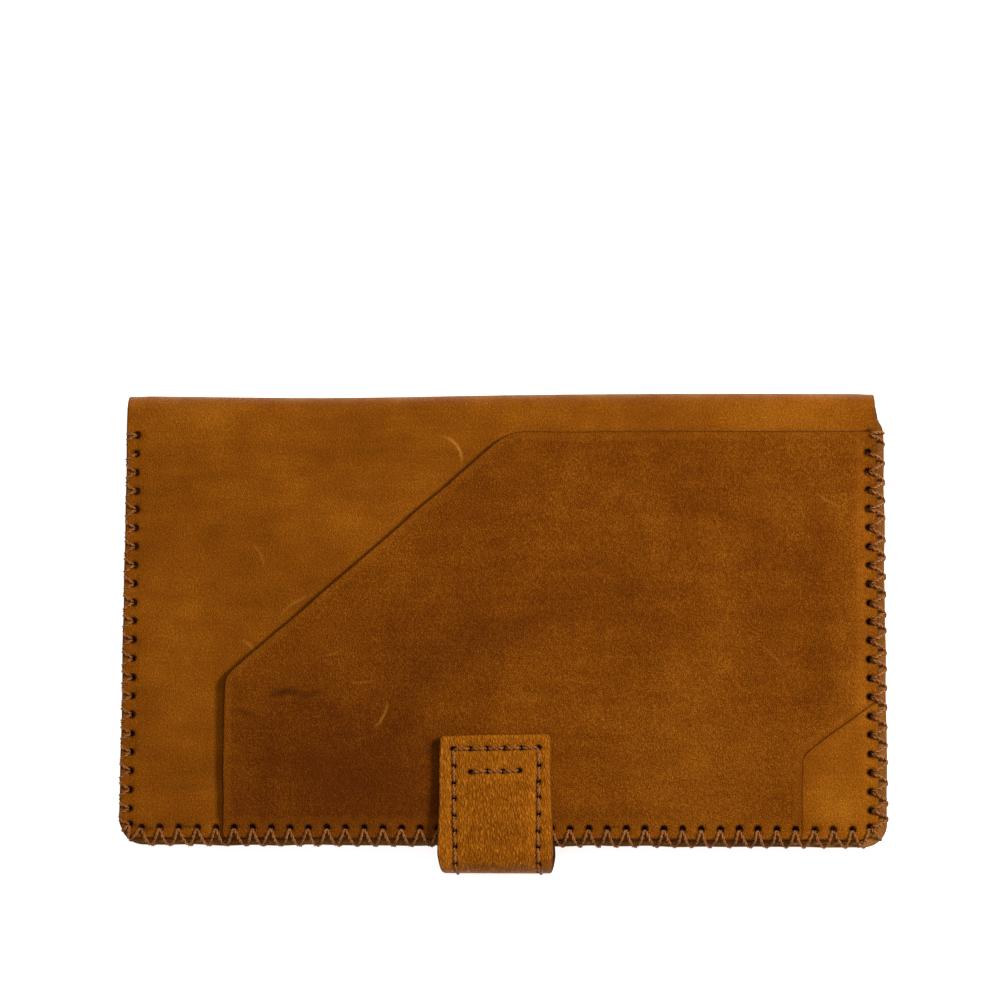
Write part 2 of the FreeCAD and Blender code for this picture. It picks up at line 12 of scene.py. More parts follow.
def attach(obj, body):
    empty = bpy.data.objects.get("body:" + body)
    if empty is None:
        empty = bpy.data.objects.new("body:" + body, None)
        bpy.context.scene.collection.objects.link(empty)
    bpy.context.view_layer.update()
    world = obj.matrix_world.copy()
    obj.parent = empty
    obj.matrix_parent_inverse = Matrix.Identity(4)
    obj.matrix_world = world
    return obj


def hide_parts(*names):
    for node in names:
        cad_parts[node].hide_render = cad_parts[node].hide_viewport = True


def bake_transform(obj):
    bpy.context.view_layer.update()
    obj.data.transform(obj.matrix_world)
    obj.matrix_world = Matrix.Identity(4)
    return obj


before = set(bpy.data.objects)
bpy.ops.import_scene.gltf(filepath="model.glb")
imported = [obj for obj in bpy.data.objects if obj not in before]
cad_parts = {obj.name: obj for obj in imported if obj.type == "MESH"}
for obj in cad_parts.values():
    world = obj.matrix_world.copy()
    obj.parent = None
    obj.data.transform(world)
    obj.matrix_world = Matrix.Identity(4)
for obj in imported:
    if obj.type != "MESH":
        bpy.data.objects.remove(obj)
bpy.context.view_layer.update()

MM = 0.001
RIPPLES = 8

# ---- layout, in millimetres

COVER_TOP = 10.0
HIDE = 1.5
FOLD_MIDDLE = 5.0
FOLD_START = 48.46
FOLD_REACH = 60.0
SEAT = dict(lining=-0.9, upper=-1.6, middle=-2.3, lower=-3.0, bill=-1.8, slip=-2.5)

FRONT_LEFT, FRONT_RIGHT, FRONT_BOTTOM = -91.9, 90.5, -48.2
BACK_LEFT, BACK_RIGHT, BACK_BOTTOM = -91.5, 91.1, -49.0
SIDE_PITCH, BOTTOM_PITCH = 4.65, 4.6
SIDE_COUNT, BOTTOM_COUNT = 22, 40
LACE_HOLE = 0.84

# Left, right and bottom of each laced outline.
FRONT_EDGE = (-94.5, 92.6, -50.8)
BACK_EDGE = (-94.1, 93.7, -51.6)
TIER_EDGE = (-94.2, 93.8, -51.6)
FRONT_LINING_EDGE = (-94.3, 94.5, -52.4)
BORDER_RIGHT = 93.1
LACE_MARGIN = 1.3
HIDE_CORNER = 5.0

# Tops of the pockets, bottom of the page up.
LINING_TOP = 54.5
TIER_TOP = dict(upper=28.6, middle=14.6, lower=0.6)
BILL_TOP, SLIP_TOP = 32.4, 9.1

# The outside pocket: its slanted mouth and its cut corner.
PANEL_LEFT, PANEL_RIGHT, PANEL_BOTTOM, PANEL_TOP = -68.8, 92.7, -50.8, 50.1
MOUTH_LOW = (PANEL_LEFT, -10.8)
MOUTH_HIGH = (1.2, 50.3)
CUT_LOW = (73.9, -30.2)
CUT_HIGH = (PANEL_RIGHT, -16.3)
PANEL_THICK = 1.2

STRAP_LEFT, STRAP_RIGHT = -15.3, 12.5
SEAM_LEFT, SEAM_RIGHT, SEAM_TOP = -11.65, 9.3, -28.8
SEAM_PITCH = 4.05

# A sheet's rounded rim as (inset, drop), in shares of its rim width, and a hole's as (spread, drop).
RIM_STEPS = ((0, 1), (0.134, 0.5), (0.5, 0.134), (1.0, 0), (1.3, 0))
HOLE_STEPS = ((0, 0.22), (0.1, 0.1), (0.24, 0))
FAR_INSIDE = 5.0


# ---- small maths


def ripple(x, y, wave, seed):
    """Smooth random relief of about unit size; wave is its typical wavelength."""
    rng = np.random.default_rng(seed)
    total = np.zeros(np.broadcast(x, y).shape)
    for _ in range(RIPPLES):
        angle, phase = rng.uniform(0, 2 * math.pi, 2)
        k = 2 * math.pi / (wave * rng.uniform(0.7, 1.7))
        total += np.cos(k * (x * math.cos(angle) + y * math.sin(angle)) + phase)
    return total / math.sqrt(RIPPLES / 2)


def ramp(value, low, high):
    """0 at low, 1 at high, smooth between."""
    t = np.clip((value - low) / (high - low), 0, 1)
    return t * t * (3 - 2 * t)


def bell(value, middle, width):
    """1 at the middle, falling smoothly to 0 either side."""
    return np.exp(-(((value - middle) / width) ** 2))


def unit(v):
    v = np.asarray(v, float)
    return v / max(np.linalg.norm(v), 1e-9)


# ---- outlines


def outline(corners, step=0.8, wobble=0.1, seed=1):
    """A dense anticlockwise loop through corners (x, y, radius), slightly uneven as cut by hand."""
    points = []
    count = len(corners)
    for i, (x, y, radius) in enumerate(corners):
        here = np.array((x, y))
        into = unit(here - np.array(corners[i - 1][:2]))
        away = unit(np.array(corners[(i + 1) % count][:2]) - here)
        turn = math.acos(max(-1, min(1, float(into @ away))))
        if radius == 0:
            points.append(here)
            continue
        side = 1 if into[0] * away[1] - into[1] * away[0] > 0 else -1
        start = here - into * radius * math.tan(turn / 2)
        centre = start + side * radius * np.array((-into[1], into[0]))
        steps = max(2, int(math.degrees(turn) / 9))
        for k in range(steps + 1):
            a = side * turn * k / steps
            arm = start - centre
            turned = (
                arm[0] * math.cos(a) - arm[1] * math.sin(a),
                arm[0] * math.sin(a) + arm[1] * math.cos(a),
            )
            points.append(centre + turned)
    dense = []
    for i, p in enumerate(points):
        q = points[(i + 1) % len(points)]
        gap = float(np.linalg.norm(q - p))
        parts = max(1, round(gap / step))
        if gap > 1e-6:
            dense += [p + (q - p) * k / parts for k in range(parts)]
    loop = np.array(dense)
    return loop + outward(loop) * wobble * ripple(loop[:, 0], loop[:, 1], 16, seed)[:, None]


def outward(loop):
    """The outward normal at each point of an anticlockwise loop."""
    along = np.roll(loop, -1, 0) - np.roll(loop, 1, 0)
    along /= np.linalg.norm(along, axis=1)[:, None]
    return np.stack((along[:, 1], -along[:, 0]), 1)


def inside(loop, p):
    """Which of the points p lie inside the loop."""
    x, y = p[:, 0], p[:, 1]
    hit = np.zeros(len(p), bool)
    for a, b in zip(loop, np.roll(loop, -1, 0)):
        crosses = (a[1] > y) != (b[1] > y)
        if crosses.any():
            cut = a[0] + (y - a[1]) * (b[0] - a[0]) / (b[1] - a[1] + 1e-12)
            hit ^= crosses & (x < cut)
    return hit


def nearest(p, targets):
    """Distance from each of p to the nearest of targets."""
    out = np.empty(len(p))
    for i in range(0, len(p), 2000):
        part = p[i : i + 2000, None, :] - targets[None, :, :]
        out[i : i + 2000] = np.sqrt((part**2).sum(2).min(1))
    return out


def oval(x, y, rx, ry, count=12):
    """An oval loop round (x, y)."""
    a = np.linspace(0, 2 * math.pi, count, endpoint=False)
    return np.stack((x + rx * np.cos(a), y + ry * np.sin(a)), 1)


# ---- meshes


def add_object(name, data):
    made = bpy.data.objects.new(name, data)
    bpy.context.scene.collection.objects.link(made)
    return made


def finish_mesh(name, verts, faces, lay, edge, kinds, materials):
    """An object from points in millimetres; lay is where each lies in the flat leather, for its material,
    edge is its distance from the nearest cut edge, and kinds picks each face's material."""
    mesh = bpy.data.meshes.new(name)
    mesh.from_pydata((np.asarray(verts) * MM).tolist(), [], faces)
    attribute = mesh.attributes.new("lay", "FLOAT_VECTOR", "POINT")
    attribute.data.foreach_set("vector", np.asarray(lay, np.float32).ravel())
    attribute = mesh.attributes.new("edge", "FLOAT", "POINT")
    attribute.data.foreach_set("value", np.asarray(edge, np.float32))
    for material in materials:
        mesh.materials.append(material)
    mesh.polygons.foreach_set("material_index", np.asarray(kinds, np.int32))
    mesh.polygons.foreach_set("use_smooth", np.ones(len(faces), bool))
    work = bmesh.new()
    work.from_mesh(mesh)
    bmesh.ops.recalc_face_normals(work, faces=work.faces)
    work.to_mesh(mesh)
    work.free()
    mesh.validate()
    return add_object(name, mesh)


def triangles(flat, fenced, loose):
    """Triangles over the points of flat inside the first fenced ring and outside the others."""
    used = np.concatenate(fenced + [loose])
    back = {int(v): i for i, v in enumerate(used)}
    fences = []
    ring_of = {}
    for n, ring in enumerate(fenced):
        local = [back[int(v)] for v in ring]
        fences += list(zip(local, local[1:] + local[:1]))
        ring_of.update((int(v), n) for v in ring)
    made = delaunay_2d_cdt([Vector(p) for p in flat[used]], fences, [], 0, 1e-7)
    origin = [o[0] if o else None for o in made[3]]
    sure, doubtful = [], []
    for tri in made[2]:
        ids = tuple(int(used[origin[i]]) for i in tri)
        owners = {ring_of.get(i, -1) for i in ids}
        if owners == {0}:
            doubtful.append(ids)
        elif len(owners) > 1 or owners == {-1}:
            sure.append(ids)
    if doubtful:
        middles = np.array([flat[list(ids)].mean(0) for ids in doubtful])
        within_outline = inside(flat[fenced[0]], middles)
        sure += [ids for ids, ok in zip(doubtful, within_outline) if ok]
    return sure


def sheet(name, loop, low, high, place, materials, holes=(), grid=1.3, rim=0.4, press=None, cut_end=None):
    """A closed sheet of leather from low to high over the loop, with rounded rims and real holes.

    place(u, v, w) bends it into the row frame, press(u, v, w) shapes its thickness,
    and cut_end is the v of a straight end that meets the next piece and stays square."""
    rng = np.random.default_rng(len(name) * 7 + len(loop))
    normals = outward(loop)
    square = np.zeros(len(loop), bool) if cut_end is None else (np.abs(loop[:, 1] - cut_end) < 0.02)
    points, drops, edges = [], [], []
    faces = []

    def add(p, drop, edge):
        start = sum(len(q) for q in points)
        points.append(p)
        drops.append(np.broadcast_to(drop, len(p)).astype(float))
        edges.append(np.broadcast_to(edge, len(p)).astype(float))
        return np.arange(start, start + len(p))

    def strip(a, b):
        for i in range(len(a)):
            j = (i + 1) % len(a)
            faces.append((int(a[i]), int(a[j]), int(b[j]), int(b[i])))

    rings = []
    for inset, drop in RIM_STEPS:
        moved = loop - normals * inset * rim
        if cut_end is not None:
            span = loop[square, 0]
            centre, half_width = (span.max() + span.min()) / 2, (span.max() - span.min()) / 2
            drawn_in = centre + (loop[:, 0] - centre) * (half_width - inset * rim) / half_width
            shift = inset * rim * 0.4 * math.copysign(1, cut_end)
            moved[:, 0] = np.where(square, drawn_in, moved[:, 0])
            moved[:, 1] = np.where(square, loop[:, 1] - shift, moved[:, 1])
        rings.append(add(moved, np.where(square, 0, drop * rim), np.where(square, FAR_INSIDE, inset * rim)))
    for a, b in zip(rings, rings[1:]):
        strip(a, b)
    inner = points[-1]
    hole_rings = []
    for hole in holes:
        centre = hole.mean(0)
        arm = hole - centre
        size = np.linalg.norm(arm, axis=1)[:, None]
        steps = [add(centre + arm * (size + spread) / size, drop, spread) for spread, drop in HOLE_STEPS]
        for a, b in zip(steps, steps[1:]):
            strip(a, b)
        hole_rings.append((steps[0], steps[-1]))
    lo, hi = inner.min(0), inner.max(0)
    gx, gy = np.meshgrid(np.arange(lo[0], hi[0], grid), np.arange(lo[1], hi[1], grid))
    cloud = np.stack((gx.ravel(), gy.ravel()), 1)
    cloud += rng.uniform(-0.28, 0.28, cloud.shape) * grid
    cloud = cloud[inside(inner, cloud)]
    keep = nearest(cloud, inner) > 0.45 * grid
    distance = nearest(cloud, inner[~square]) + RIM_STEPS[-1][0] * rim
    if len(holes):
        centres = np.array([h.mean(0) for h in holes])
        widest = max(np.linalg.norm(h - h.mean(0), axis=1).max() for h in holes)
        from_hole = nearest(cloud, centres) - widest
        keep &= from_hole > HOLE_STEPS[-1][0] + 0.4 * grid
        distance = np.minimum(distance, from_hole)
    cloud_ids = add(cloud[keep], 0, distance[keep])
    flat = np.concatenate(points)
    faces += triangles(flat, [rings[-1]] + [r[1] for r in hole_rings], cloud_ids)
    drop = np.concatenate(drops)
    edge = np.concatenate(edges)
    u, v = flat[:, 0], flat[:, 1]
    top = high - drop
    bottom = low + np.minimum(drop, 0.35 * (high - low)) * 0.7
    if press is not None:
        top = press(u, v, top)
        bottom = press(u, v, bottom)
    count = len(flat)
    verts = np.concatenate((np.stack(place(u, v, top), 1), np.stack(place(u, v, bottom), 1)))
    lay = np.concatenate((np.stack((u, v, top), 1), np.stack((u, v, bottom), 1)))
    kinds = [0] * len(faces) + [1] * len(faces)
    faces = faces + [tuple(i + count for i in reversed(f)) for f in faces]
    for ring in [rings[0]] + [r[0] for r in hole_rings]:
        for i in range(len(ring)):
            a, b = int(ring[i]), int(ring[(i + 1) % len(ring)])
            faces.append((a, b, b + count, a + count))
            kinds.append(1)
    return finish_mesh(name, verts, faces, lay, np.concatenate((edge, edge)), kinds, materials)


def smooth_path(points, spacing):
    """A Catmull-Rom line through the points, at even spacing."""
    p = np.asarray(points, float)
    p = np.concatenate((2 * p[:1] - p[1:2], p, 2 * p[-1:] - p[-2:-1]))
    t = np.linspace(0, 1, 9)[:-1, None]
    line = []
    for a, b, c, d in zip(p, p[1:], p[2:], p[3:]):
        square, cube = 2 * a - 5 * b + 4 * c - d, 3 * b - a - 3 * c + d
        line.append(0.5 * (2 * b + (c - a) * t + square * t**2 + cube * t**3))
    line = np.concatenate(line + [p[-2:-1]])
    run = np.concatenate(([0], np.cumsum(np.linalg.norm(np.diff(line, axis=0), axis=1))))
    at = np.linspace(0, run[-1], max(3, int(run[-1] / spacing) + 1))
    return np.stack([np.interp(at, run, line[:, i]) for i in range(3)], 1), at


def twine(name, paths, radius, material, spacing=0.24, turn=2.6, sides=5):
    """Two-ply thread along each path: two strands twisted round each other."""
    verts, faces = [], []
    count = 0
    for number, points in enumerate(paths):
        line, at = smooth_path(points, spacing)
        along = np.gradient(line, axis=0)
        along /= np.linalg.norm(along, axis=1)[:, None]
        side = unit(np.cross(along[0], (0.31, 0.52, 0.79)))
        frames = []
        for t in along:
            side = unit(side - t * (side @ t))
            frames.append((side, np.cross(t, side)))
        right = np.array([f[0] for f in frames])
        up = np.array([f[1] for f in frames])
        for ply in range(2):
            twist = 2 * math.pi * at / turn + math.pi * ply + number * 1.3
            core = line + 0.5 * radius * (np.cos(twist)[:, None] * right + np.sin(twist)[:, None] * up)
            ring = np.linspace(0, 2 * math.pi, sides, endpoint=False)
            across, over = np.cos(ring)[None, :, None], np.sin(ring)[None, :, None]
            arms = across * right[:, None, :] + over * up[:, None, :]
            tube = core[:, None, :] + 0.56 * radius * arms
            n = len(line)
            verts.append(tube.reshape(-1, 3))
            for i in range(n - 1):
                for k in range(sides):
                    a, b = count + i * sides + k, count + i * sides + (k + 1) % sides
                    faces.append((a, b, b + sides, a + sides))
            faces.append(tuple(count + k for k in reversed(range(sides))))
            faces.append(tuple(count + (n - 1) * sides + k for k in range(sides)))
            count += n * sides
    verts = np.concatenate(verts)
    edge = np.full(len(verts), FAR_INSIDE)
    return finish_mesh(name, verts, faces, verts, edge, [0] * len(faces), [material])


# ---- materials


def tree_of(name):
    """A new material, its node tree and its shader."""
    material = bpy.data.materials.new(name)
    material.use_nodes = True
    return material, material.node_tree, material.node_tree.nodes["Principled BSDF"]


def node(tree, kind, values=(), **settings):
    """One shader node; values maps its sockets to numbers or to other nodes' outputs."""
    made = tree.nodes.new("ShaderNode" + kind)
    for key, value in settings.items():
        setattr(made, key, value)
    for key, value in dict(values).items():
        if isinstance(value, bpy.types.NodeSocket):
            tree.links.new(value, made.inputs[key])
        else:
            made.inputs[key].default_value = value
    return made


def maths(tree, operation, a, b=0.0):
    return node(tree, "Math", {0: a, 1: b}, operation=operation).outputs[0]


def vectors(tree, operation, values, output=0):
    return node(tree, "VectorMath", values, operation=operation).outputs[output]


def between(tree, value, low, high, out_low=0.0, out_high=1.0):
    values = {"Value": value, "From Min": low, "From Max": high, "To Min": out_low, "To Max": out_high}
    return node(tree, "MapRange", values, interpolation_type="SMOOTHSTEP").outputs[0]


def mixed(tree, factor, a, b, blend="MIX"):
    values = {0: factor, 6: a, 7: b}
    return node(tree, "Mix", values, data_type="RGBA", blend_type=blend).outputs[2]


def colour(r, g, b):
    """A colour given as it is seen, 0 to 255 a channel."""
    linear = [c / 255 / 12.92 if c <= 10 else ((c / 255 + 0.055) / 1.055) ** 2.4 for c in (r, g, b)]
    return (*linear, 1.0)


def darker(shown, share):
    """The same colour with that share of its light."""
    return (*(c * share for c in shown[:3]), 1.0)


def noise(tree, vector, scale, detail=3.0, rough=0.55):
    values = {"Vector": vector, "Scale": scale, "Detail": detail, "Roughness": rough}
    return node(tree, "TexNoise", values).outputs["Fac"]


def attribute(tree, name, output):
    """What the mesh says: lay is the place in the flat leather, edge the distance from a cut edge."""
    return node(tree, "Attribute", attribute_name=name).outputs[output]


def finished(tree, shader, tint, relief, depth, strength, specular, specular_tint):
    """Gives the shader its colour, its relief of depth millimetres and its faint shine."""
    bump = node(tree, "Bump", {"Height": relief, "Strength": strength, "Distance": depth * MM})
    tree.links.new(tint, shader.inputs["Base Color"])
    tree.links.new(bump.outputs[0], shader.inputs["Normal"])
    shader.inputs["Specular IOR Level"].default_value = specular
    shader.inputs["Specular Tint"].default_value = (*specular_tint, 1.0)


def stretched(tree, vector, scale, angle=0.0):
    values = {"Vector": vector, "Scale": scale, "Rotation": (0, 0, angle)}
    return node(tree, "Mapping", values).outputs[0]


def wax_tone(tree, lay, strayed, speck, speckle, pools):
    """How light the leather is, 0 to 1, from clouds, patches, rubbed streaks, speckle and the pools."""
    clouds = maths(tree, "MULTIPLY", noise(tree, lay, 0.03, 3.0, 0.6), 0.45)
    patches = maths(tree, "MULTIPLY", noise(tree, lay, 0.16, 4.0, 0.5), 0.22)
    streaks = noise(tree, stretched(tree, lay, (0.04, 0.3, 1), 0.12), 1.0, 5.0, 0.65)
    tone = maths(tree, "ADD", clouds, patches)
    tone = maths(tree, "ADD", tone, maths(tree, "MULTIPLY", streaks, 0.25))
    tone = maths(tree, "ADD", tone, maths(tree, "MULTIPLY", speck, speckle))
    tone = maths(tree, "SUBTRACT", tone, speckle / 2 - 0.04)
    for x, y, width, height, amount in pools:
        size = (1 / width, 1 / height, 0)
        place = {"Vector": strayed, "Location": (-x / width, -y / height, 0), "Scale": size}
        far = vectors(tree, "LENGTH", {0: node(tree, "Mapping", place).outputs[0]}, "Value")
        tone = maths(tree, "ADD", tone, between(tree, far, 0.25, 1.15, amount, 0.0))
    return tone


def marked(tree, tint, lay, warped, mark):
    """The tint with one mark on it, a scratch, a crease with its shade painted in, or a band of painted
    shadow: an arc of radius bend through (x, y).
    """
    x, y, bend, angle, length, width, strength, shown = mark
    middle = (x - bend * math.cos(angle), y - bend * math.sin(angle), 0)
    arm = vectors(tree, "SUBTRACT", {0: warped, 1: middle})
    flat = vectors(tree, "MULTIPLY", {0: arm, 1: (1, 1, 0)})
    off = maths(tree, "SUBTRACT", vectors(tree, "LENGTH", {0: flat}, "Value"), bend)
    line = between(tree, maths(tree, "ABSOLUTE", off), 0.05, width, strength, 0.0)
    apart = vectors(tree, "DISTANCE", {0: lay, 1: (x, y, HIDE)}, "Value")
    fade = between(tree, apart, 0.2 * length, length, 1.0, 0.0)
    return mixed(tree, maths(tree, "MULTIPLY", line, fade), tint, shown)


def leather(
    name,
    dark,
    mid,
    light,
    pools=(),
    grain=(2.2, 2.0, 2.0),
    speckle=0.7,
    depth=0.08,
    crease_dark_and_shade=0.34,
    worn_fold=None,
    border=0.0,
    marks=(),
    rim_shade=0.8,
    rough=0.56,
):
    """Waxed pull-up leather.

    pools are soft patches (x, y, width, height, amount) of darker or lighter wax, except the lining's, which
    is painted light; marks are (x, y, bend, angle, length, width, strength, colour), and border lightens a
    band in from the cut edges, partly the margin's own lighter tone and partly a painted highlight. The
    grain's creases and the rims of cut edges and holes are darkened with painted shade."""
    material, tree, shader = tree_of(name)
    lay = attribute(tree, "lay", "Vector")
    edge = attribute(tree, "edge", "Fac")
    speck = noise(tree, stretched(tree, lay, grain), 1.0, 3.0, 0.6)
    wander = node(tree, "TexNoise", {"Vector": lay, "Scale": 0.07, "Detail": 3.0}).outputs["Color"]
    drift = vectors(tree, "SUBTRACT", {0: wander, 1: (0.5, 0.5, 0.5)})
    drift = vectors(tree, "SCALE", {0: drift, "Scale": 22.0})
    strayed = vectors(tree, "ADD", {0: lay, 1: drift})
    tremor = node(tree, "TexNoise", {"Vector": lay, "Scale": 1.3, "Detail": 2.0}).outputs["Color"]
    tremor = vectors(tree, "SCALE", {0: tremor, "Scale": 0.7})
    warped = vectors(tree, "ADD", {0: lay, 1: tremor})
    shade = node(tree, "ValToRGB", {"Fac": wax_tone(tree, lay, strayed, speck, speckle, pools)})
    stops = shade.color_ramp.elements
    stops[0].position, stops[0].color = 0.25, dark
    stops[1].position, stops[1].color = 0.8, light
    stops.new(0.52).color = mid
    scuffs = noise(tree, stretched(tree, strayed, (0.16, 1.5, 1), 0.6), 1.0, 2.0, 0.45)
    tint = mixed(tree, between(tree, scuffs, 0.69, 0.77, 0.0, 0.3), shade.outputs["Color"], light)
    cells = {"Vector": stretched(tree, warped, grain), "Scale": 0.9}
    creases = node(tree, "TexVoronoi", cells, feature="DISTANCE_TO_EDGE").outputs["Distance"]
    # Painted shade: the creases between the grain's cells are darkened in colour on top of their relief,
    # partly their own darker leather and partly the shade in them.
    tint = mixed(tree, between(tree, creases, 0.0, 0.22, crease_dark_and_shade, 0.0), tint, darker(dark, 0.55))
    for mark in marks:
        tint = marked(tree, tint, lay, warped, mark)
    # Painted highlight: border lightens a band 1.4 to 2.8 mm in from the cut edges and holes, partly the
    # margin's own lighter tone and partly the light on its raised rounding.
    if border:
        tint = mixed(tree, between(tree, edge, 1.4, 2.8, border, 0.0), tint, light)
    if worn_fold:
        y = node(tree, "SeparateXYZ", {0: lay}).outputs["Y"]
        near = between(tree, y, 57.6, 60.4)
        patchy = between(tree, noise(tree, lay, 0.12, 5.0, 0.65), 0.35, 0.65, 0.1, 0.85)
        tint = mixed(tree, maths(tree, "MULTIPLY", near, patchy), tint, worn_fold)
    # Painted shade: the face darkens within about half a millimetre of every cut edge and hole, standing in
    # for the shade at the edge walls and inside the holes.
    tint = mixed(tree, between(tree, edge, 0.0, 0.55, rim_shade, 0.0), tint, darker(dark, 0.35))
    relief = maths(tree, "ADD", between(tree, creases, 0.0, 0.35), maths(tree, "MULTIPLY", speck, 0.9))
    relief = maths(tree, "ADD", relief, maths(tree, "MULTIPLY", noise(tree, lay, 0.6, 3.0), 1.2))
    gloss = between(tree, noise(tree, lay, 0.3, 3.0), 0.3, 0.7, rough - 0.07, rough + 0.08)
    tree.links.new(gloss, shader.inputs["Roughness"])
    finished(tree, shader, tint, relief, depth, 1.0, 0.13, (1.0, 0.6, 0.16))
    return material


WARM = (1.0, 0.7, 0.35)


def flesh(name, base, dark):
    """The cut edges and undersides of a hide: matt, fibrous and burnished where cut."""
    material, tree, shader = tree_of(name)
    lay = attribute(tree, "lay", "Vector")
    edge = attribute(tree, "edge", "Fac")
    fibre = noise(tree, stretched(tree, lay, (1.6, 1.6, 6.0)), 1.0, 4.0, 0.65)
    tint = mixed(tree, between(tree, fibre, 0.3, 0.7), dark, base)
    tint = mixed(tree, between(tree, edge, 0.0, 0.5, 0.55, 0.0), tint, darker(dark, 0.45))
    finished(tree, shader, tint, fibre, 0.06, 0.8, 0.1, WARM)
    shader.inputs["Roughness"].default_value = 0.8
    return material


def thread(name, base, dark):
    """Waxed linen thread, darker where it is worn."""
    material, tree, shader = tree_of(name)
    lay = attribute(tree, "lay", "Vector")
    fuzz = noise(tree, lay, 3.0, 3.0, 0.6)
    wear = noise(tree, lay, 0.25, 2.0)
    tint = mixed(tree, between(tree, fuzz, 0.3, 0.7), dark, base)
    tint = mixed(tree, between(tree, wear, 0.45, 0.75, 0.0, 0.5), tint, dark)
    finished(tree, shader, tint, fuzz, 0.05, 0.7, 0.14, WARM)
    shader.inputs["Roughness"].default_value = 0.62
    return material


def steel(name):
    """Brushed steel."""
    material, tree, shader = tree_of(name)
    where = node(tree, "TexCoord").outputs["Object"]
    brushed = noise(tree, stretched(tree, where, (400, 9000, 9000)), 1.0, 3.0)
    tint = mixed(tree, brushed, (0.42, 0.42, 0.43, 1), (0.62, 0.62, 0.63, 1))
    tree.links.new(tint, shader.inputs["Base Color"])
    tree.links.new(between(tree, brushed, 0.2, 0.8, 0.28, 0.42), shader.inputs["Roughness"])
    shader.inputs["Metallic"].default_value = 1.0
    return material


PALE_MARK = colour(176, 112, 38)
# Dark crease lines: the creases' own darker leather with their shade painted in, as they have no relief.
DARK_CREASE_SHADE = colour(70, 28, 4)
# The colour of the painted shadow along the panel's cut corner.
CORNER_SHADOW_PAINT = colour(108, 46, 3)
NEARLY_STRAIGHT = 400.0
COVER = leather(
    "cover_leather",
    colour(101, 49, 4),
    colour(140, 74, 6),
    colour(178, 106, 22),
    pools=(
        (-60, -20, 60, 40, -0.03),
        (60, 54, 60, 8, 0.06),
        (88, -46, 22, 20, 0.07),
        (-62, 18, 26, 14, -0.07),
    ),
    worn_fold=colour(150, 96, 42),
    marks=(
        (-11.1, 46.9, 6.0, 0.6, 6.0, 0.65, 0.8, PALE_MARK),
        (-62.6, -2.4, 4.0, 0.9, 3.0, 0.6, 0.45, PALE_MARK),
        (-60.0, 20.0, 9.0, 0.5, 4.5, 0.55, 0.25, PALE_MARK),
        (-52.0, 7.5, 14.0, 2.2, 6.0, 0.55, 0.3, PALE_MARK),
    ),
)
PANEL = leather(
    "panel_leather",
    colour(93, 38, 3),
    colour(125, 63, 4),
    colour(162, 92, 16),
    pools=(
        (-58, -36, 36, 30, -0.15),
        (-25, -42, 30, 26, -0.16),
        (-12, -2, 30, 16, -0.06),
        (55, 30, 55, 26, 0.05),
        (50, -32, 42, 24, 0.07),
        (88, -10, 8, 60, 0.12),
    ),
    depth=0.13,
    speckle=0.9,
    border=0.16,
    marks=(
        (-29.0, -20.7, 9.0, -0.5, 5.0, 0.55, 0.55, PALE_MARK),
        (-34.7, -12.0, 12.0, -1.57, 4.5, 0.55, 0.3, PALE_MARK),
        (-42.0, -5.0, 16.0, -1.3, 6.0, 0.55, 0.2, PALE_MARK),
        (68.0, -6.0, 20.0, 0.8, 5.0, 0.55, 0.25, PALE_MARK),
        (81.0, 33.0, 16.0, -2.1, 5.0, 0.55, 0.4, PALE_MARK),
        # Dark creases, their shade painted in.
        (-53.5, -14.4, 12.0, 1.7, 6.5, 1.6, 0.85, DARK_CREASE_SHADE),
        (-63.5, -19.3, 9.0, 1.3, 5.0, 1.5, 0.6, DARK_CREASE_SHADE),
        (-47.9, -15.3, 16.0, 1.9, 5.0, 1.4, 0.6, DARK_CREASE_SHADE),
        (-38.5, -24.8, 14.0, 1.4, 4.0, 1.4, 0.45, DARK_CREASE_SHADE),
        # Painted shadow: a dark band on the panel's face along both straight sides of its cut corner.
        (CUT_LOW[0], -40.0, NEARLY_STRAIGHT, 0.0, 15.0, 1.5, 0.6, CORNER_SHADOW_PAINT),
        (83.1, -23.0, NEARLY_STRAIGHT, -0.934, 16.0, 1.5, 0.6, CORNER_SHADOW_PAINT),
    ),
)
STRAP = leather(
    "strap_leather",
    colour(110, 54, 4),
    colour(158, 86, 8),
    colour(200, 120, 28),
    grain=(1.9, 0.72, 1.5),
    speckle=0.9,
    depth=0.18,
    crease_dark_and_shade=0.45,
    border=0.12,
)
LINING = leather(
    "lining_leather",
    colour(118, 70, 26),
    colour(146, 90, 38),
    colour(166, 110, 54),
    # Painted light: this pool lightens the lining's bottom band, which lies in the shadow of the front hide;
    # the painted shade at the rims is kept weak.
    pools=((0, -53.5, 130, 6, 0.3),),
    rim_shade=0.3,
    rough=0.66,
)
EDGE = flesh("cut_edge", colour(126, 68, 18), colour(80, 40, 10))
LINING_EDGE = flesh("lining_edge", colour(150, 88, 32), colour(112, 60, 18))
LACE_THREAD = thread("lacing_thread", colour(168, 108, 58), colour(108, 60, 28))
SEAM_THREAD = thread("seam_thread", colour(170, 108, 58), colour(104, 58, 28))
STEEL = steel("steel")

# ---- how the leather lies


FOLD_SLOPE = math.radians(8.0)
FOLD_LEAD = 7.0
FOLD_RADIUS = 4.72
FOLD_STEP = 0.05


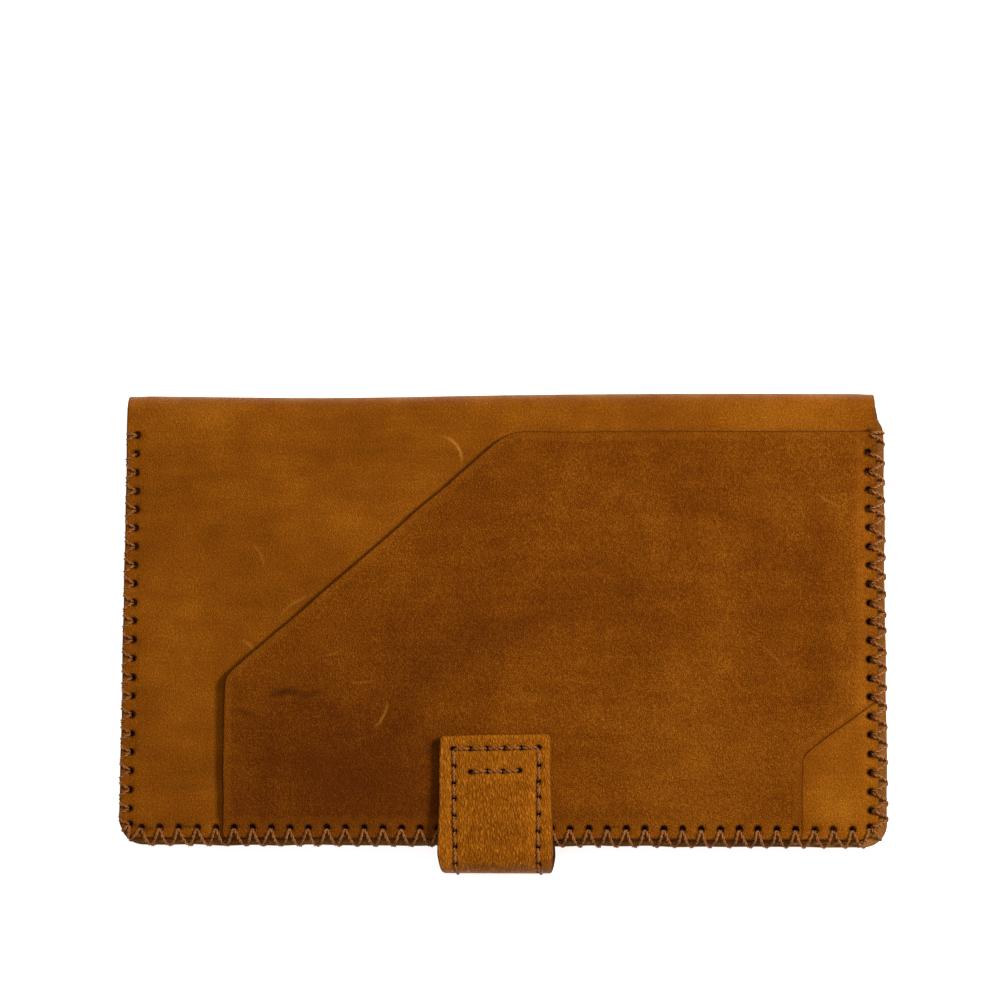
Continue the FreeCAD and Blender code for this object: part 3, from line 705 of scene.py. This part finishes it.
def fold_line():
    """The outer face of the front half in section, as (run, y, z), dropping round to mid-spine."""
    s, y, z = [0.0], [0.0], [COVER_TOP]
    while True:
        here = s[-1] + FOLD_STEP
        eased = FOLD_SLOPE * (here / FOLD_LEAD) ** 2
        angle = eased if here < FOLD_LEAD else FOLD_SLOPE + (here - FOLD_LEAD) / FOLD_RADIUS
        if angle >= math.pi / 2:
            break
        s.append(here)
        y.append(y[-1] + FOLD_STEP * math.cos(angle))
        z.append(z[-1] - FOLD_STEP * math.sin(angle))
    s.append(s[-1] + z[-1] - FOLD_MIDDLE)
    y.append(y[-1])
    z.append(FOLD_MIDDLE)
    y = np.array(y) * (FOLD_REACH - FOLD_START) / y[-1]
    return np.array(s) + FOLD_START, y + FOLD_START, np.array(z)


FOLD_V, FOLD_Y, FOLD_Z = fold_line()
FOLD_END = float(FOLD_V[-1])


def fold_wave(u):
    """The fold isn't quite straight along its length."""
    return 0.28 * bell(u, 48, 45) - 0.62 * bell(u, -46, 36)


def headings(at, s, y, z, span):
    """The direction of the line (y, z) at the run at, taken from span before to span after."""
    return [np.interp(at + span, s, c) - np.interp(at - span, s, c) for c in (y, z)]


# How much narrower the halves get for each millimetre towards the fold.
TAPER = 0.000075


def half(sign, swell, seed):
    """place() for the front (+1) or back (-1) half: v runs up from the opening and round the fold."""

    def place(u, v, w):
        past = v > FOLD_START
        y = np.where(past, np.interp(v, FOLD_V, FOLD_Y), v)
        z = np.where(past, np.interp(v, FOLD_V, FOLD_Z), COVER_TOP)
        heading_y, heading_z = headings(np.maximum(v, FOLD_START), FOLD_V, FOLD_Y, FOLD_Z, 0.05)
        bent = v > FOLD_START + 0.1
        along_y, along_z = np.where(bent, heading_y, 1.0), np.where(bent, heading_z, 0.0)
        size = np.hypot(along_y, along_z)
        depth = w - HIDE
        soft = swell * ripple(u, np.minimum(v, FOLD_START), 34, seed) * (1 - ramp(v, 50, 57))
        soft = soft if sign > 0 else -np.abs(soft)
        y = y - along_z / size * depth + fold_wave(u) * ramp(v, 46, FOLD_END)
        z = z + along_y / size * depth + soft
        return u * (1 - TAPER * v), y, FOLD_MIDDLE + sign * (z - FOLD_MIDDLE)

    return place


front = half(1, 0.11, 5)
back = half(-1, 0.05, 9)


def hide_outline(left, right, bottom, waist, seed):
    """One half of the hide, drawn in at the fold by waist at the left and the right."""
    corners = [
        (left, bottom, HIDE_CORNER),
        (right, bottom, HIDE_CORNER),
        (right, 51.5, 9.0),
        (right - waist[1], FOLD_END, 0),
        (left + waist[0], FOLD_END, 0),
        (left, 51.5, 9.0),
    ]
    return outline(corners, wobble=0.06, seed=seed)


def straight_end(loop):
    """The rows at mid-spine stay exactly on the line where the two halves of the hide meet."""
    row = loop[:, 1] > FOLD_END - 0.35
    loop[row, 0] = np.sort(loop[row, 0])[::-1]
    loop[row, 1] = FOLD_END
    crowded = row & (np.linalg.norm(loop - np.roll(loop, 1, 0), axis=1) < 0.3)
    return loop[~crowded]


def side_rows(left, right, bottom, last):
    """Both side rows; the corner holes sit a little in from the corner."""
    rows = [[(x, bottom + SIDE_PITCH * k) for k in range(last)] for x in (left, right)]
    rows[0][0] = (left + 0.2, bottom + 0.7)
    rows[1][0] = (right - 0.2, bottom + 0.6)
    return rows[0] + rows[1]


def bottom_row(right, bottom, skip=()):
    """The bottom row from right to left, its first hole being the corner."""
    return [(right - BOTTOM_PITCH * j, bottom) for j in range(BOTTOM_COUNT) if j not in skip]


def lace_holes(places, count=12, size=LACE_HOLE):
    """Round holes at the places, each punched slightly off."""
    rng = np.random.default_rng(3)
    made = []
    for x, y in places:
        r = size * rng.uniform(0.9, 1.02)
        x += rng.uniform(-0.1, 0.1)
        y += rng.uniform(-0.1, 0.1)
        made.append(oval(x, y, r, r * rng.uniform(0.94, 1.06), count))
    return made


STRAP_GAP = range(17, 24)
FRONT_ALL = side_rows(FRONT_LEFT, FRONT_RIGHT, FRONT_BOTTOM, SIDE_COUNT)
FRONT_ALL += bottom_row(FRONT_RIGHT, FRONT_BOTTOM)[1:]
BACK_ALL = side_rows(BACK_LEFT, BACK_RIGHT, BACK_BOTTOM, SIDE_COUNT)
BACK_ALL += bottom_row(BACK_RIGHT, BACK_BOTTOM, STRAP_GAP)[1:]


def within(places, loop, margin=LACE_MARGIN):
    """The places that a layer reaches, with leather all round the hole."""
    p = np.array(places)
    ok = inside(loop, p) & (nearest(p, loop) > margin)
    return [q for q, good in zip(places, ok) if good]


def border(u, v, left, right, bottom, width):
    """1 at the laced border, 0 inside it."""
    gap = np.minimum(np.minimum(u - left, right - u), v - bottom)
    return 1 - ramp(gap, width * 0.45, width)


def hide_press(left, right, bottom, amount):
    """press() for a hide that its lacing pulls thinner along the border by amount."""

    def press(u, v, w):
        return w - amount * border(u, v, left, right, bottom, 5.5) * (w > 0.7)

    return press


def dress(piece, slot, *nodes):
    """Hides the CAD nodes that the piece stands for; the slot is not used."""
    if nodes:
        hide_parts(*nodes)
    return piece


# ---- the front half

front_loop = straight_end(hide_outline(*FRONT_EDGE, (-0.1, 0.5), 11))
front_holes = lace_holes(within(FRONT_ALL, front_loop), 14)
front_press = hide_press(FRONT_EDGE[0], BORDER_RIGHT, FRONT_EDGE[2], 0.12)
front_hide = sheet(
    "front_hide", front_loop, 0.0, HIDE, front, [COVER, EDGE], front_holes, 1.35, 0.4, front_press, FOLD_END
)
dress(front_hide, "cover_leather", "front_cover", "spine_leather")
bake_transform(front_hide)

panel_corners = [
    (PANEL_LEFT, PANEL_BOTTOM, 1.2),
    (CUT_LOW[0], PANEL_BOTTOM, 1.2),
    (*CUT_LOW, 3.0),
    (*CUT_HIGH, 1.5),
    (PANEL_RIGHT, PANEL_TOP, 2.0),
    (MOUTH_HIGH[0], PANEL_TOP, 12.0),
    (*MOUTH_LOW, 5.0),
]
panel_loop = outline(panel_corners, wobble=0.05, seed=23)
MOUTH_ANGLE = math.atan2(MOUTH_HIGH[1] - MOUTH_LOW[1], MOUTH_HIGH[0] - MOUTH_LOW[0])


def from_mouth(u, v):
    """Distance inwards from the slanted mouth of the pocket."""
    return (u - MOUTH_HIGH[0]) * math.sin(MOUTH_ANGLE) - (v - MOUTH_HIGH[1]) * math.cos(MOUTH_ANGLE)


def panel_press(u, v, w):
    """Laced down along the right and the bottom, lifted a little at the mouth and the left side."""
    from_right, from_bottom = BORDER_RIGHT - u, v - PANEL_BOTTOM
    low = 1 - ramp(from_bottom, 2.6, 6.5)
    pressed = np.maximum(1 - ramp(from_right, 2.6, 6.5), low)
    thin = HIDE + (w - HIDE) * (1 - 0.5 * pressed)
    lift = 0.4 * (1 - ramp(from_mouth(u, v), 0.0, 20.0))
    lift += 0.35 * (1 - ramp(u - PANEL_LEFT, 0, 10)) * (1 - low)
    waves = 0.1 * ripple(u, v, 20, 31) * ramp(np.minimum(from_right, from_bottom), 3, 14)
    return thin + lift * (1 - pressed) + np.abs(waves)


panel_holes = lace_holes(within(FRONT_ALL, panel_loop), 14)
panel_face = HIDE + PANEL_THICK
front_pocket = sheet(
    "front_pocket", panel_loop, HIDE, panel_face, front, [PANEL, EDGE], panel_holes, 1.35, 0.42, panel_press
)
dress(front_pocket, "panel_leather", "front_pocket_panel")
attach(front_pocket, "front_half")


def layer(name, cad, body, place, corners, low, high, holes, seed):
    """A lining or pocket: one leather sheet from low to high, laced in with the rest."""
    loop = outline(corners, wobble=0.07, seed=seed)
    cut = lace_holes(within(holes, loop), 10, 0.5)
    piece = sheet(name, loop, low, high, place, [LINING, LINING_EDGE], cut, grid=2.6, rim=0.22)
    dress(piece, "lining_leather", cad)
    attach(piece, body)


def pocket_corners(left, right, bottom, top):
    return [(left, bottom, 4.5), (right, bottom, 4.5), (right, top, 1.5), (left, top, 1.5)]


left, right, bottom = FRONT_LINING_EDGE
lining_corners = [(left, bottom, 6.0), (right, bottom, 6.0)]
lining_corners += [(right, LINING_TOP, 5.0), (left, LINING_TOP, 5.0)]
layer("front_liner", "front_lining", "front_half", front, lining_corners, SEAT["lining"], 0.0, FRONT_ALL, 41)
for number, (tier, above) in enumerate((("upper", "lining"), ("middle", "upper"), ("lower", "middle"))):
    corners = pocket_corners(*TIER_EDGE, TIER_TOP[tier])
    names = (f"card_tier_{tier}", f"card_pocket_{tier}")
    layer(*names, "front_half", front, corners, SEAT[tier], SEAT[above], FRONT_ALL, 50 + number)

# ---- the back half

back_loop = straight_end(hide_outline(*BACK_EDGE, (-0.5, 1.6), 12))
back_holes = lace_holes(within(BACK_ALL, back_loop), 12, 0.55)
back_press = hide_press(*BACK_EDGE, 0.8)
back_hide = sheet(
    "back_hide", back_loop, 0.0, HIDE, back, [COVER, EDGE], back_holes, 1.6, 0.4, back_press, FOLD_END
)
dress(back_hide, "cover_leather", "back_cover")
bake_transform(back_hide)
back_layers = (
    ("back_liner", "back_lining", LINING_TOP, SEAT["lining"], 0.0),
    ("bill_pocket_leather", "bill_pocket", BILL_TOP, SEAT["bill"], SEAT["lining"]),
    ("slip_pocket_leather", "slip_pocket", SLIP_TOP, SEAT["slip"], SEAT["bill"]),
)
for number, (name, cad, top, low, high) in enumerate(back_layers):
    corners = pocket_corners(*BACK_EDGE, top)
    layer(name, cad, "back_half", back, corners, low, high, BACK_ALL, 60 + number)

# ---- lacing


def reach(loop, start, heading):
    """How far the loop is from start in that direction."""
    best = 0.0
    for a, b in zip(loop, np.roll(loop, -1, 0)):
        edge = b - a
        across = heading[0] * edge[1] - heading[1] * edge[0]
        if abs(across) < 1e-9:
            continue
        gap = a - start
        t = (gap[0] * edge[1] - gap[1] * edge[0]) / across
        k = (gap[0] * heading[1] - gap[1] * heading[0]) / across
        if t > 0 and -1e-6 <= k <= 1 + 1e-6:
            best = max(best, t)
    return best


LACE = 0.39
LACE_LIFTS = (-0.3, 0.0)


def lace_path(place, here, there, heading, hide_loop, widest, outer, inner, lift):
    """One pass of lace: out of the front of hole here, round the edge, into the back of hole there."""
    here, there, heading = np.array(here), np.array(there), unit(heading)
    rim = max(reach(loop, (here + there) / 2, heading) for loop in widest)

    def at_edge(share, out):
        return here + (there - here) * share + heading * (rim + out)

    first = unit(at_edge(0.34, 0.0) - here)
    last = unit(at_edge(0.66, 0.0) - there)
    lip = reach(hide_loop, here, first)
    overhang = rim - lip > 0.9
    path = [
        (*(here + first * 0.45), outer - 1.3),
        (*(here + first * 0.66), outer - 0.35),
        (*(here + first * 1.2), outer + LACE * 0.75),
        (*(here + first * (lip - 0.3)), outer + LACE * 0.8),
    ]
    if overhang:
        path.append((*(here + first * (lip + 0.35)), outer - 0.1))
    path += [
        (*at_edge(0.37, lift - 0.3), 0.3 if overhang else 0.75),
        (*at_edge(0.5, lift), -0.45),
        (*at_edge(0.63, lift - 0.3), (inner - 0.85) * 0.8),
        (*(there + last * 1.5), inner - LACE * 0.85),
        (*(there + last * 0.9), inner - LACE),
        (*(there + last * 0.35), inner + 0.3),
        (*there, inner + 1.0),
    ]
    p = np.array(path)
    return np.stack(place(p[:, 0], p[:, 1], p[:, 2]), 1)


def lacing(place, left, right, bottom, hide_loop, widest, outer_at, inner_at, skip=()):
    """Every pass of lace on one half: crossed along the edge, single at the ends and the corners."""
    rng = np.random.default_rng(17)
    both = side_rows(left, right, bottom, SIDE_COUNT)
    left_side, right_side = both[:SIDE_COUNT], both[SIDE_COUNT:]
    low = [right_side[0]] + bottom_row(right, bottom)[1:] + [left_side[0]]
    paths = []

    def lace(here, there, heading, lift):
        span = (outer_at(*here), inner_at(*there))
        paths.append(lace_path(place, here, there, heading, hide_loop, widest, *span, lift))

    def cross(a, b, heading, only_back=False):
        ends = [(a, b, LACE_LIFTS[0]), (b, a, LACE_LIFTS[1])]
        for here, there, lift in ends[1:] if only_back else ends:
            tilt = np.array((rng.uniform(-0.12, 0.12), rng.uniform(-0.12, 0.12)))
            lace(here, there, np.array(heading) + tilt, lift)

    for k in range(SIDE_COUNT - 1):
        cross(left_side[k], left_side[k + 1], (-1, 0), k == SIDE_COUNT - 2)
        cross(right_side[k], right_side[k + 1], (1, 0), k == SIDE_COUNT - 2)
    for side, out in ((left_side, -1), (right_side, 1)):
        lace(side[-1], side[-1], (out, 0.12), 0.0)
    for j in range(BOTTOM_COUNT):
        if j in skip or j + 1 in skip:
            continue
        corner = j == BOTTOM_COUNT - 1
        cross(low[j], low[j + 1], (-0.35, -1) if corner else (0, -1))
    for corner, heading in ((low[0], (0.7, -0.8)), (low[-1], (-0.8, -0.6))):
        lace(corner, corner, heading, 0.0)
    return paths


def edge_loop(left, right, bottom):
    """The laced outline of a half, carried past the fold."""
    corners = [(left, bottom, HIDE_CORNER), (right, bottom, HIDE_CORNER), (right, 60, 0.5), (left, 60, 0.5)]
    return outline(corners, wobble=0.0)


lining_loop = outline(lining_corners, wobble=0.0)
front_edge = edge_loop(*FRONT_EDGE)
back_edge = edge_loop(*BACK_EDGE)


def front_outer(x, y):
    on_panel = bool(inside(panel_loop, np.array([(x, y)]))[0])
    return 2.1 if on_panel else 1.38


def back_outer(x, y):
    return 0.58


def front_inner(x, y):
    for tier in ("lower", "middle", "upper"):
        if y < TIER_TOP[tier]:
            return SEAT[tier]
    return SEAT["lining"]


def back_inner(x, y):
    return SEAT["slip"] if y < SLIP_TOP else SEAT["bill"] if y < BILL_TOP else SEAT["lining"]


front_rows = (FRONT_LEFT, FRONT_RIGHT, FRONT_BOTTOM)
front_passes = lacing(front, *front_rows, front_edge, (front_edge, lining_loop), front_outer, front_inner)
front_lacing = twine("front_lacing", front_passes, LACE, LACE_THREAD)
dress(front_lacing, "lacing_thread", "front_edge_lacing")
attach(front_lacing, "front_half")
back_rows = (BACK_LEFT, BACK_RIGHT, BACK_BOTTOM)
back_passes = lacing(back, *back_rows, back_edge, (back_edge,), back_outer, back_inner, STRAP_GAP)
back_lacing = twine("back_lacing", back_passes, LACE, LACE_THREAD, spacing=0.3)
dress(back_lacing, "lacing_thread", "back_edge_lacing")
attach(back_lacing, "back_half")

# ---- the closure strap

STRAP_THICK = 2.2
LINING_THICK = 1.1
STRAP_FRONT = -59.1
STRAP_BEND = 4.4
STRAP_LOW, STRAP_HIGH = 0.4, 13.95
WRAP_MIDDLE = (STRAP_LOW + STRAP_HIGH) / 2
TAB_END = -25.1
ANCHOR_END = -40.0
LOW_LINER_END = -52.4


def strap_line(upper):
    """The strap's outer face in section, from mid-wrap to a little beyond its end."""
    z_end = STRAP_HIGH if upper else STRAP_LOW
    sign = 1 if upper else -1
    y, z = [STRAP_FRONT], [WRAP_MIDDLE]
    centre_y, centre_z = STRAP_FRONT + STRAP_BEND, z_end - sign * STRAP_BEND
    for a in np.linspace(0, math.pi / 2, 28):
        y.append(centre_y - STRAP_BEND * math.cos(a))
        z.append(centre_z + sign * STRAP_BEND * math.sin(a))
    for run in np.linspace(centre_y, 2.0 + (TAB_END if upper else ANCHOR_END), 60)[1:]:
        y.append(run)
        sink = 0.42 * float(ramp(run, -50.0, -34.0)) if upper else -0.3 * float(ramp(run, -54.0, -51.0))
        z.append(z_end - sink)
    y, z = np.array(y), np.array(z)
    s = np.concatenate(([0], np.cumsum(np.hypot(np.diff(y), np.diff(z)))))
    return s, y, z


def strap_half(upper):
    """place() for one half of the strap, its length, and along(y), the distance from mid-wrap."""
    s, y, z = strap_line(upper)

    def place(u, v, w):
        py, pz = np.interp(v, s, y), np.interp(v, s, z)
        along_y, along_z = headings(v, s, y, z, 0.06)
        size = np.hypot(along_y, along_z) + 1e-9
        depth = (w - STRAP_THICK) * (1 if upper else -1)
        return u, py - along_z / size * depth, pz + along_y / size * depth

    def along(at_y):
        return float(np.interp(at_y, y[1:], s[1:]))

    return place, along(TAB_END if upper else ANCHOR_END), along


tab_place, tab_length, tab_v = strap_half(True)
low_place, low_length, low_v = strap_half(False)


def strap_outline(length, tip):
    """Widths along the strap: drawn in at the wrap, a little wider where it meets the wallet."""
    bend = STRAP_BEND * math.pi / 2 + WRAP_MIDDLE - STRAP_LOW - STRAP_BEND
    corners = [
        (STRAP_LEFT + 1.1, 0, 0),
        (STRAP_RIGHT - 0.6, 0, 0),
        (STRAP_RIGHT - 0.2, 3, 1.2),
        (STRAP_RIGHT + 0.5, bend, 6.0),
        (STRAP_RIGHT - 0.3, length + 0.2, tip),
        (STRAP_LEFT + 0.1, length - 0.25, tip),
        (STRAP_LEFT - 0.1, bend, 6.0),
        (STRAP_LEFT + 0.75, 3, 1.2),
    ]
    loop = outline(corners, step=0.7, wobble=0.05, seed=71)
    loop[:, 1] = np.where(loop[:, 1] < 0.3, 0.0, loop[:, 1])
    return loop


tab_side = [tab_v(SEAM_TOP) - SEAM_PITCH * k for k in range(9)]
rng = np.random.default_rng(29)


def jitter(size):
    return rng.uniform(-size, size)


column_left = [(SEAM_LEFT + 0.07 * k + jitter(0.1), v + jitter(0.3)) for k, v in enumerate(tab_side)]
column_right = [(SEAM_RIGHT + jitter(0.12), v + jitter(0.3) + 0.15) for k, v in enumerate(tab_side)]
SEAM_WIDTH = SEAM_RIGHT - SEAM_LEFT
row_v = tab_side[0]
row = [(SEAM_LEFT + SEAM_WIDTH * k / 5 + jitter(0.15), row_v + 0.05 * k + jitter(0.1)) for k in range(1, 5)]
row = [column_left[0]] + row + [column_right[0]]
tack_v = tab_v(SEAM_TOP - SEAM_PITCH * 1.4)
tack = [(-7.4 + 4.0 * k + jitter(0.15), tack_v + 0.12 * k + jitter(0.12)) for k in range(4)]
low_left = [(SEAM_LEFT + 0.7 - 0.1 * k, 1.3 + SEAM_PITCH * k) for k in range(3)]
low_right = [(SEAM_RIGHT + 0.35, 1.45 + SEAM_PITCH * k) for k in range(3)]


def seam_holes(columns, rows=()):
    """Slanted-awl holes, each long the way its seam runs."""
    made = [oval(x, v, 0.5, 0.78) for points in columns for x, v in points]
    return made + [oval(x, v, 0.78, 0.5) for points in rows for x, v in points]


def channel(u, v, rows):
    """How deep the stitch line is drawn into the leather, 0 to 1."""
    depth = np.zeros(np.shape(u))
    for points in rows:
        for a, b in zip(points, points[1:]):
            a, b = np.array(a), np.array(b)
            run = b - a
            t = np.clip(((u - a[0]) * run[0] + (v - a[1]) * run[1]) / (run @ run), 0, 1)
            gap = np.hypot(u - a[0] - t * run[0], v - a[1] - t * run[1])
            depth = np.maximum(depth, np.exp(-((gap / 0.75) ** 2)))
    return depth


tab_rows = (column_left, column_right, row, tack)


def tab_press(u, v, w):
    """The outer face, drawn in along its stitches and a little uneven."""
    face = w > LINING_THICK + 0.3
    groove = 0.3 * channel(u, v, tab_rows) * face
    swell = 0.07 * ripple(u, v, 12, 77) * face
    return w - groove + swell * ramp(v, 2, 6)


tab_loop = strap_outline(tab_length, 1.1)
tab_holes = seam_holes((column_left[1:], column_right[1:]), (row, tack))


def strap_piece(name, loop, place, holes=(), press=None, rim=0.3):
    """A layer of the strap; its end at mid-wrap is square and meets the other half."""
    lining = name.endswith("liner")
    low, high = (0.0, LINING_THICK) if lining else (LINING_THICK, STRAP_THICK)
    materials = [LINING, LINING_EDGE] if lining else [STRAP, EDGE]
    return sheet(name, loop, low, high, place, materials, holes, 0.9, rim, press, cut_end=-1e-9)


tab_outer = strap_piece("strap_upper", tab_loop, tab_place, tab_holes, tab_press, 0.48)
tab_inner = strap_piece("strap_upper_liner", tab_loop, tab_place, tab_holes)
low_loop = strap_outline(low_length, 4.0)
low_holes = seam_holes((low_left, low_right))
low_outer = strap_piece("strap_lower", low_loop, low_place, low_holes, None, 0.45)
low_liner_corners = [
    (STRAP_LEFT + 1.1, 0, 0),
    (STRAP_RIGHT - 0.6, 0, 0),
    (STRAP_RIGHT, low_v(LOW_LINER_END), 0.8),
    (STRAP_LEFT, low_v(LOW_LINER_END), 0.8),
]
low_inner = strap_piece("strap_lower_liner", outline(low_liner_corners, step=0.7, wobble=0.0), low_place)
dress(tab_outer, "strap_leather", "closure_tab", "strap_wrap")
dress(tab_inner, "lining_leather", "closure_tab_lining", "strap_wrap_lining")
dress(low_outer, "strap_leather", "strap_anchor")
dress(low_inner, "lining_leather", "strap_anchor_lining")


def seam_paths(points, place, surface, under):
    """Stitches from hole to hole, each diving into its holes at both ends."""
    paths = []
    for (ax, av), (bx, bv) in zip(points, points[1:]):
        a, b = np.array((ax, av)), np.array((bx, bv))
        along = unit(b - a)
        flat = [
            (*(a + along * 0.42), under),
            (*(a + along * 0.56), surface - 0.35),
            (*(a + along * 1.05), surface + 0.06),
            (*((a + b) / 2), surface + 0.1),
            (*(b - along * 1.05), surface + 0.06),
            (*(b - along * 0.56), surface - 0.35),
            (*(b - along * 0.42), under),
        ]
        p = np.array(flat)
        paths.append(np.stack(place(p[:, 0], p[:, 1], p[:, 2]), 1))
    return paths


STITCH = 0.4
FINE_STITCH = 0.3
seam_top = STRAP_THICK - 0.16
tab_seams = (column_left, column_right, row)
upper_seams = [p for r in tab_seams for p in seam_paths(r, tab_place, seam_top, 1.0)]
upper_seams += [p for r in tab_seams for p in seam_paths(r, tab_place, -0.2, 0.9)]
tab_seam = twine("tab_stitching", upper_seams, STITCH, SEAM_THREAD, spacing=0.22)
dress(tab_seam, "seam_thread", "tab_edge_stitching", "strap_wrap_stitching")
tack_paths = seam_paths(tack, tab_place, seam_top + 0.04, 1.0)
tack_seam = twine("tack_stitching", tack_paths, STITCH * 1.12, SEAM_THREAD, spacing=0.22)
dress(tack_seam, "seam_thread", "tab_tack_stitching")
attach(tack_seam, "closure_tab")
for piece in (tab_outer, tab_inner, tab_seam):
    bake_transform(piece)
lower_seams = [p for r in (low_left, low_right) for p in seam_paths(r, low_place, STRAP_THICK - 0.05, 1.2)]
low_seam = twine("strap_lower_stitching", lower_seams, STITCH, SEAM_THREAD, spacing=0.22)
for piece in (low_outer, low_inner, low_seam):
    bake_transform(piece)

# ---- stitching inside and underneath

divider_y = [-42.6 + SEAM_PITCH * k for k in range(17)]


def divider_stitch(a, b):
    """One stitch from a to b, on the face of the card tier that is topmost there."""
    start, end = (COVER_TOP - HIDE + front_inner(0, y) for y in (a, b))
    middle = min(start, end)
    stops = ((a + 0.2, start + 1.2), (a + 0.5, start), (a + 1.1, start - 0.26), ((a + b) / 2, middle - 0.3),
             (b - 1.1, end - 0.26), (b - 0.5, end), (b - 0.2, end + 1.2))
    return np.array([(0, y, z) for y, z in stops])


divider_paths = [divider_stitch(a, b) for a, b in zip(divider_y, divider_y[1:])]
divider = twine("card_divider_thread", divider_paths, FINE_STITCH, SEAM_THREAD, spacing=0.3)
dress(divider, "seam_thread", "card_divider_stitching")
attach(divider, "front_half")
ANCHOR_TOP, ANCHOR_PITCH = -36.2, 4.03
anchor_points = [(SEAM_LEFT, ANCHOR_TOP - ANCHOR_PITCH * k) for k in reversed(range(4))]
anchor_points += [(SEAM_LEFT + SEAM_WIDTH * k / 5, ANCHOR_TOP) for k in range(1, 5)]
anchor_points += [(SEAM_RIGHT, ANCHOR_TOP - ANCHOR_PITCH * k) for k in range(4)]


def anchor_stitch(a, b):
    """One stitch from a to b on the underside, where the strap's end is sewn to the back cover."""
    a, b = np.array(a), np.array(b)
    dive, level = unit(b - a) * 0.2, unit(b - a) * 0.6
    stops = ((a + dive, 1.2), (a + level, 0.36), ((a + b) / 2, 0.32), (b - level, 0.36), (b - dive, 1.2))
    return np.array([(*p, z) for p, z in stops])


anchor_paths = [anchor_stitch(a, b) for a, b in zip(anchor_points, anchor_points[1:])]
anchor = twine("anchor_stitching", anchor_paths, FINE_STITCH, SEAM_THREAD, spacing=0.3)
dress(anchor, "seam_thread", "strap_anchor_stitching")
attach(anchor, "back_half")
for name in ("tab_magnet", "keeper_plate"):
    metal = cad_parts[name]
    metal.data.materials.clear()
    metal.data.materials.append(STEEL)

# ---- floor, light and camera

FLOOR_REACH = 3.0
floor_mesh = bpy.data.meshes.new("floor")
floor_corners = [(x * FLOOR_REACH, y * FLOOR_REACH, 0) for x, y in ((-1, -1), (1, -1), (1, 1), (-1, 1))]
floor_mesh.from_pydata(floor_corners, [], [(0, 1, 2, 3)])
floor = add_object("floor", floor_mesh)
paper, tree, shader = tree_of("floor_paper")
shader.inputs["Base Color"].default_value = (0.7, 0.7, 0.7, 1)
shader.inputs["Roughness"].default_value = 0.9
shader.inputs["Specular IOR Level"].default_value = 0.0
shader.inputs["Emission Color"].default_value = (1, 1, 1, 1)
shader.inputs["Emission Strength"].default_value = 0.85
floor_mesh.materials.append(paper)

world = bpy.data.worlds.new("studio")
bpy.context.scene.world = world
world.use_nodes = True
world.node_tree.nodes["Background"].inputs["Color"].default_value = (1, 1, 1, 1)
world.node_tree.nodes["Background"].inputs["Strength"].default_value = 0.32


def softbox(name, where, size, power):
    """A rectangular lamp that faces the wallet."""
    data = bpy.data.lights.new(name, "AREA")
    data.shape = "RECTANGLE"
    data.size, data.size_y = size
    data.energy = power
    lamp = add_object(name, data)
    lamp.location = where
    lamp.rotation_euler = (-Vector(where)).to_track_quat("-Z", "Y").to_euler()


softbox("key", (0.87, 0.35, 0.72), (0.28, 0.28), 15.8)
softbox("overhead", (0.0, 0.3, 1.3), (0.8, 0.5), 2.4)

# The wallet sits low in the picture, so the camera looks at a point beyond its middle.
FIELD, DISTANCE = 0.248, 1.2
camera_data = bpy.data.cameras.new("camera")
camera = add_object("camera", camera_data)
camera_data.sensor_width = 36.0
camera_data.lens = camera_data.sensor_width * DISTANCE / FIELD
aim = Vector((-0.75 * MM, 33.15 * MM, COVER_TOP * MM))
lean_x, lean_y = math.radians(3.5), math.radians(6.0)
toward = Vector((math.tan(lean_x), -math.tan(lean_y), 1)).normalized()
camera.location = aim + toward * DISTANCE
roll = math.radians(0.33)
across = Vector((-math.sin(roll), math.cos(roll), 0)).cross(toward).normalized()
camera.rotation_euler = Matrix((across, toward.cross(across), toward)).transposed().to_euler()
camera_data.clip_start, camera_data.clip_end = 0.05, 20
bpy.context.scene.camera = camera
bpy.context.scene.view_settings.view_transform = "Standard"
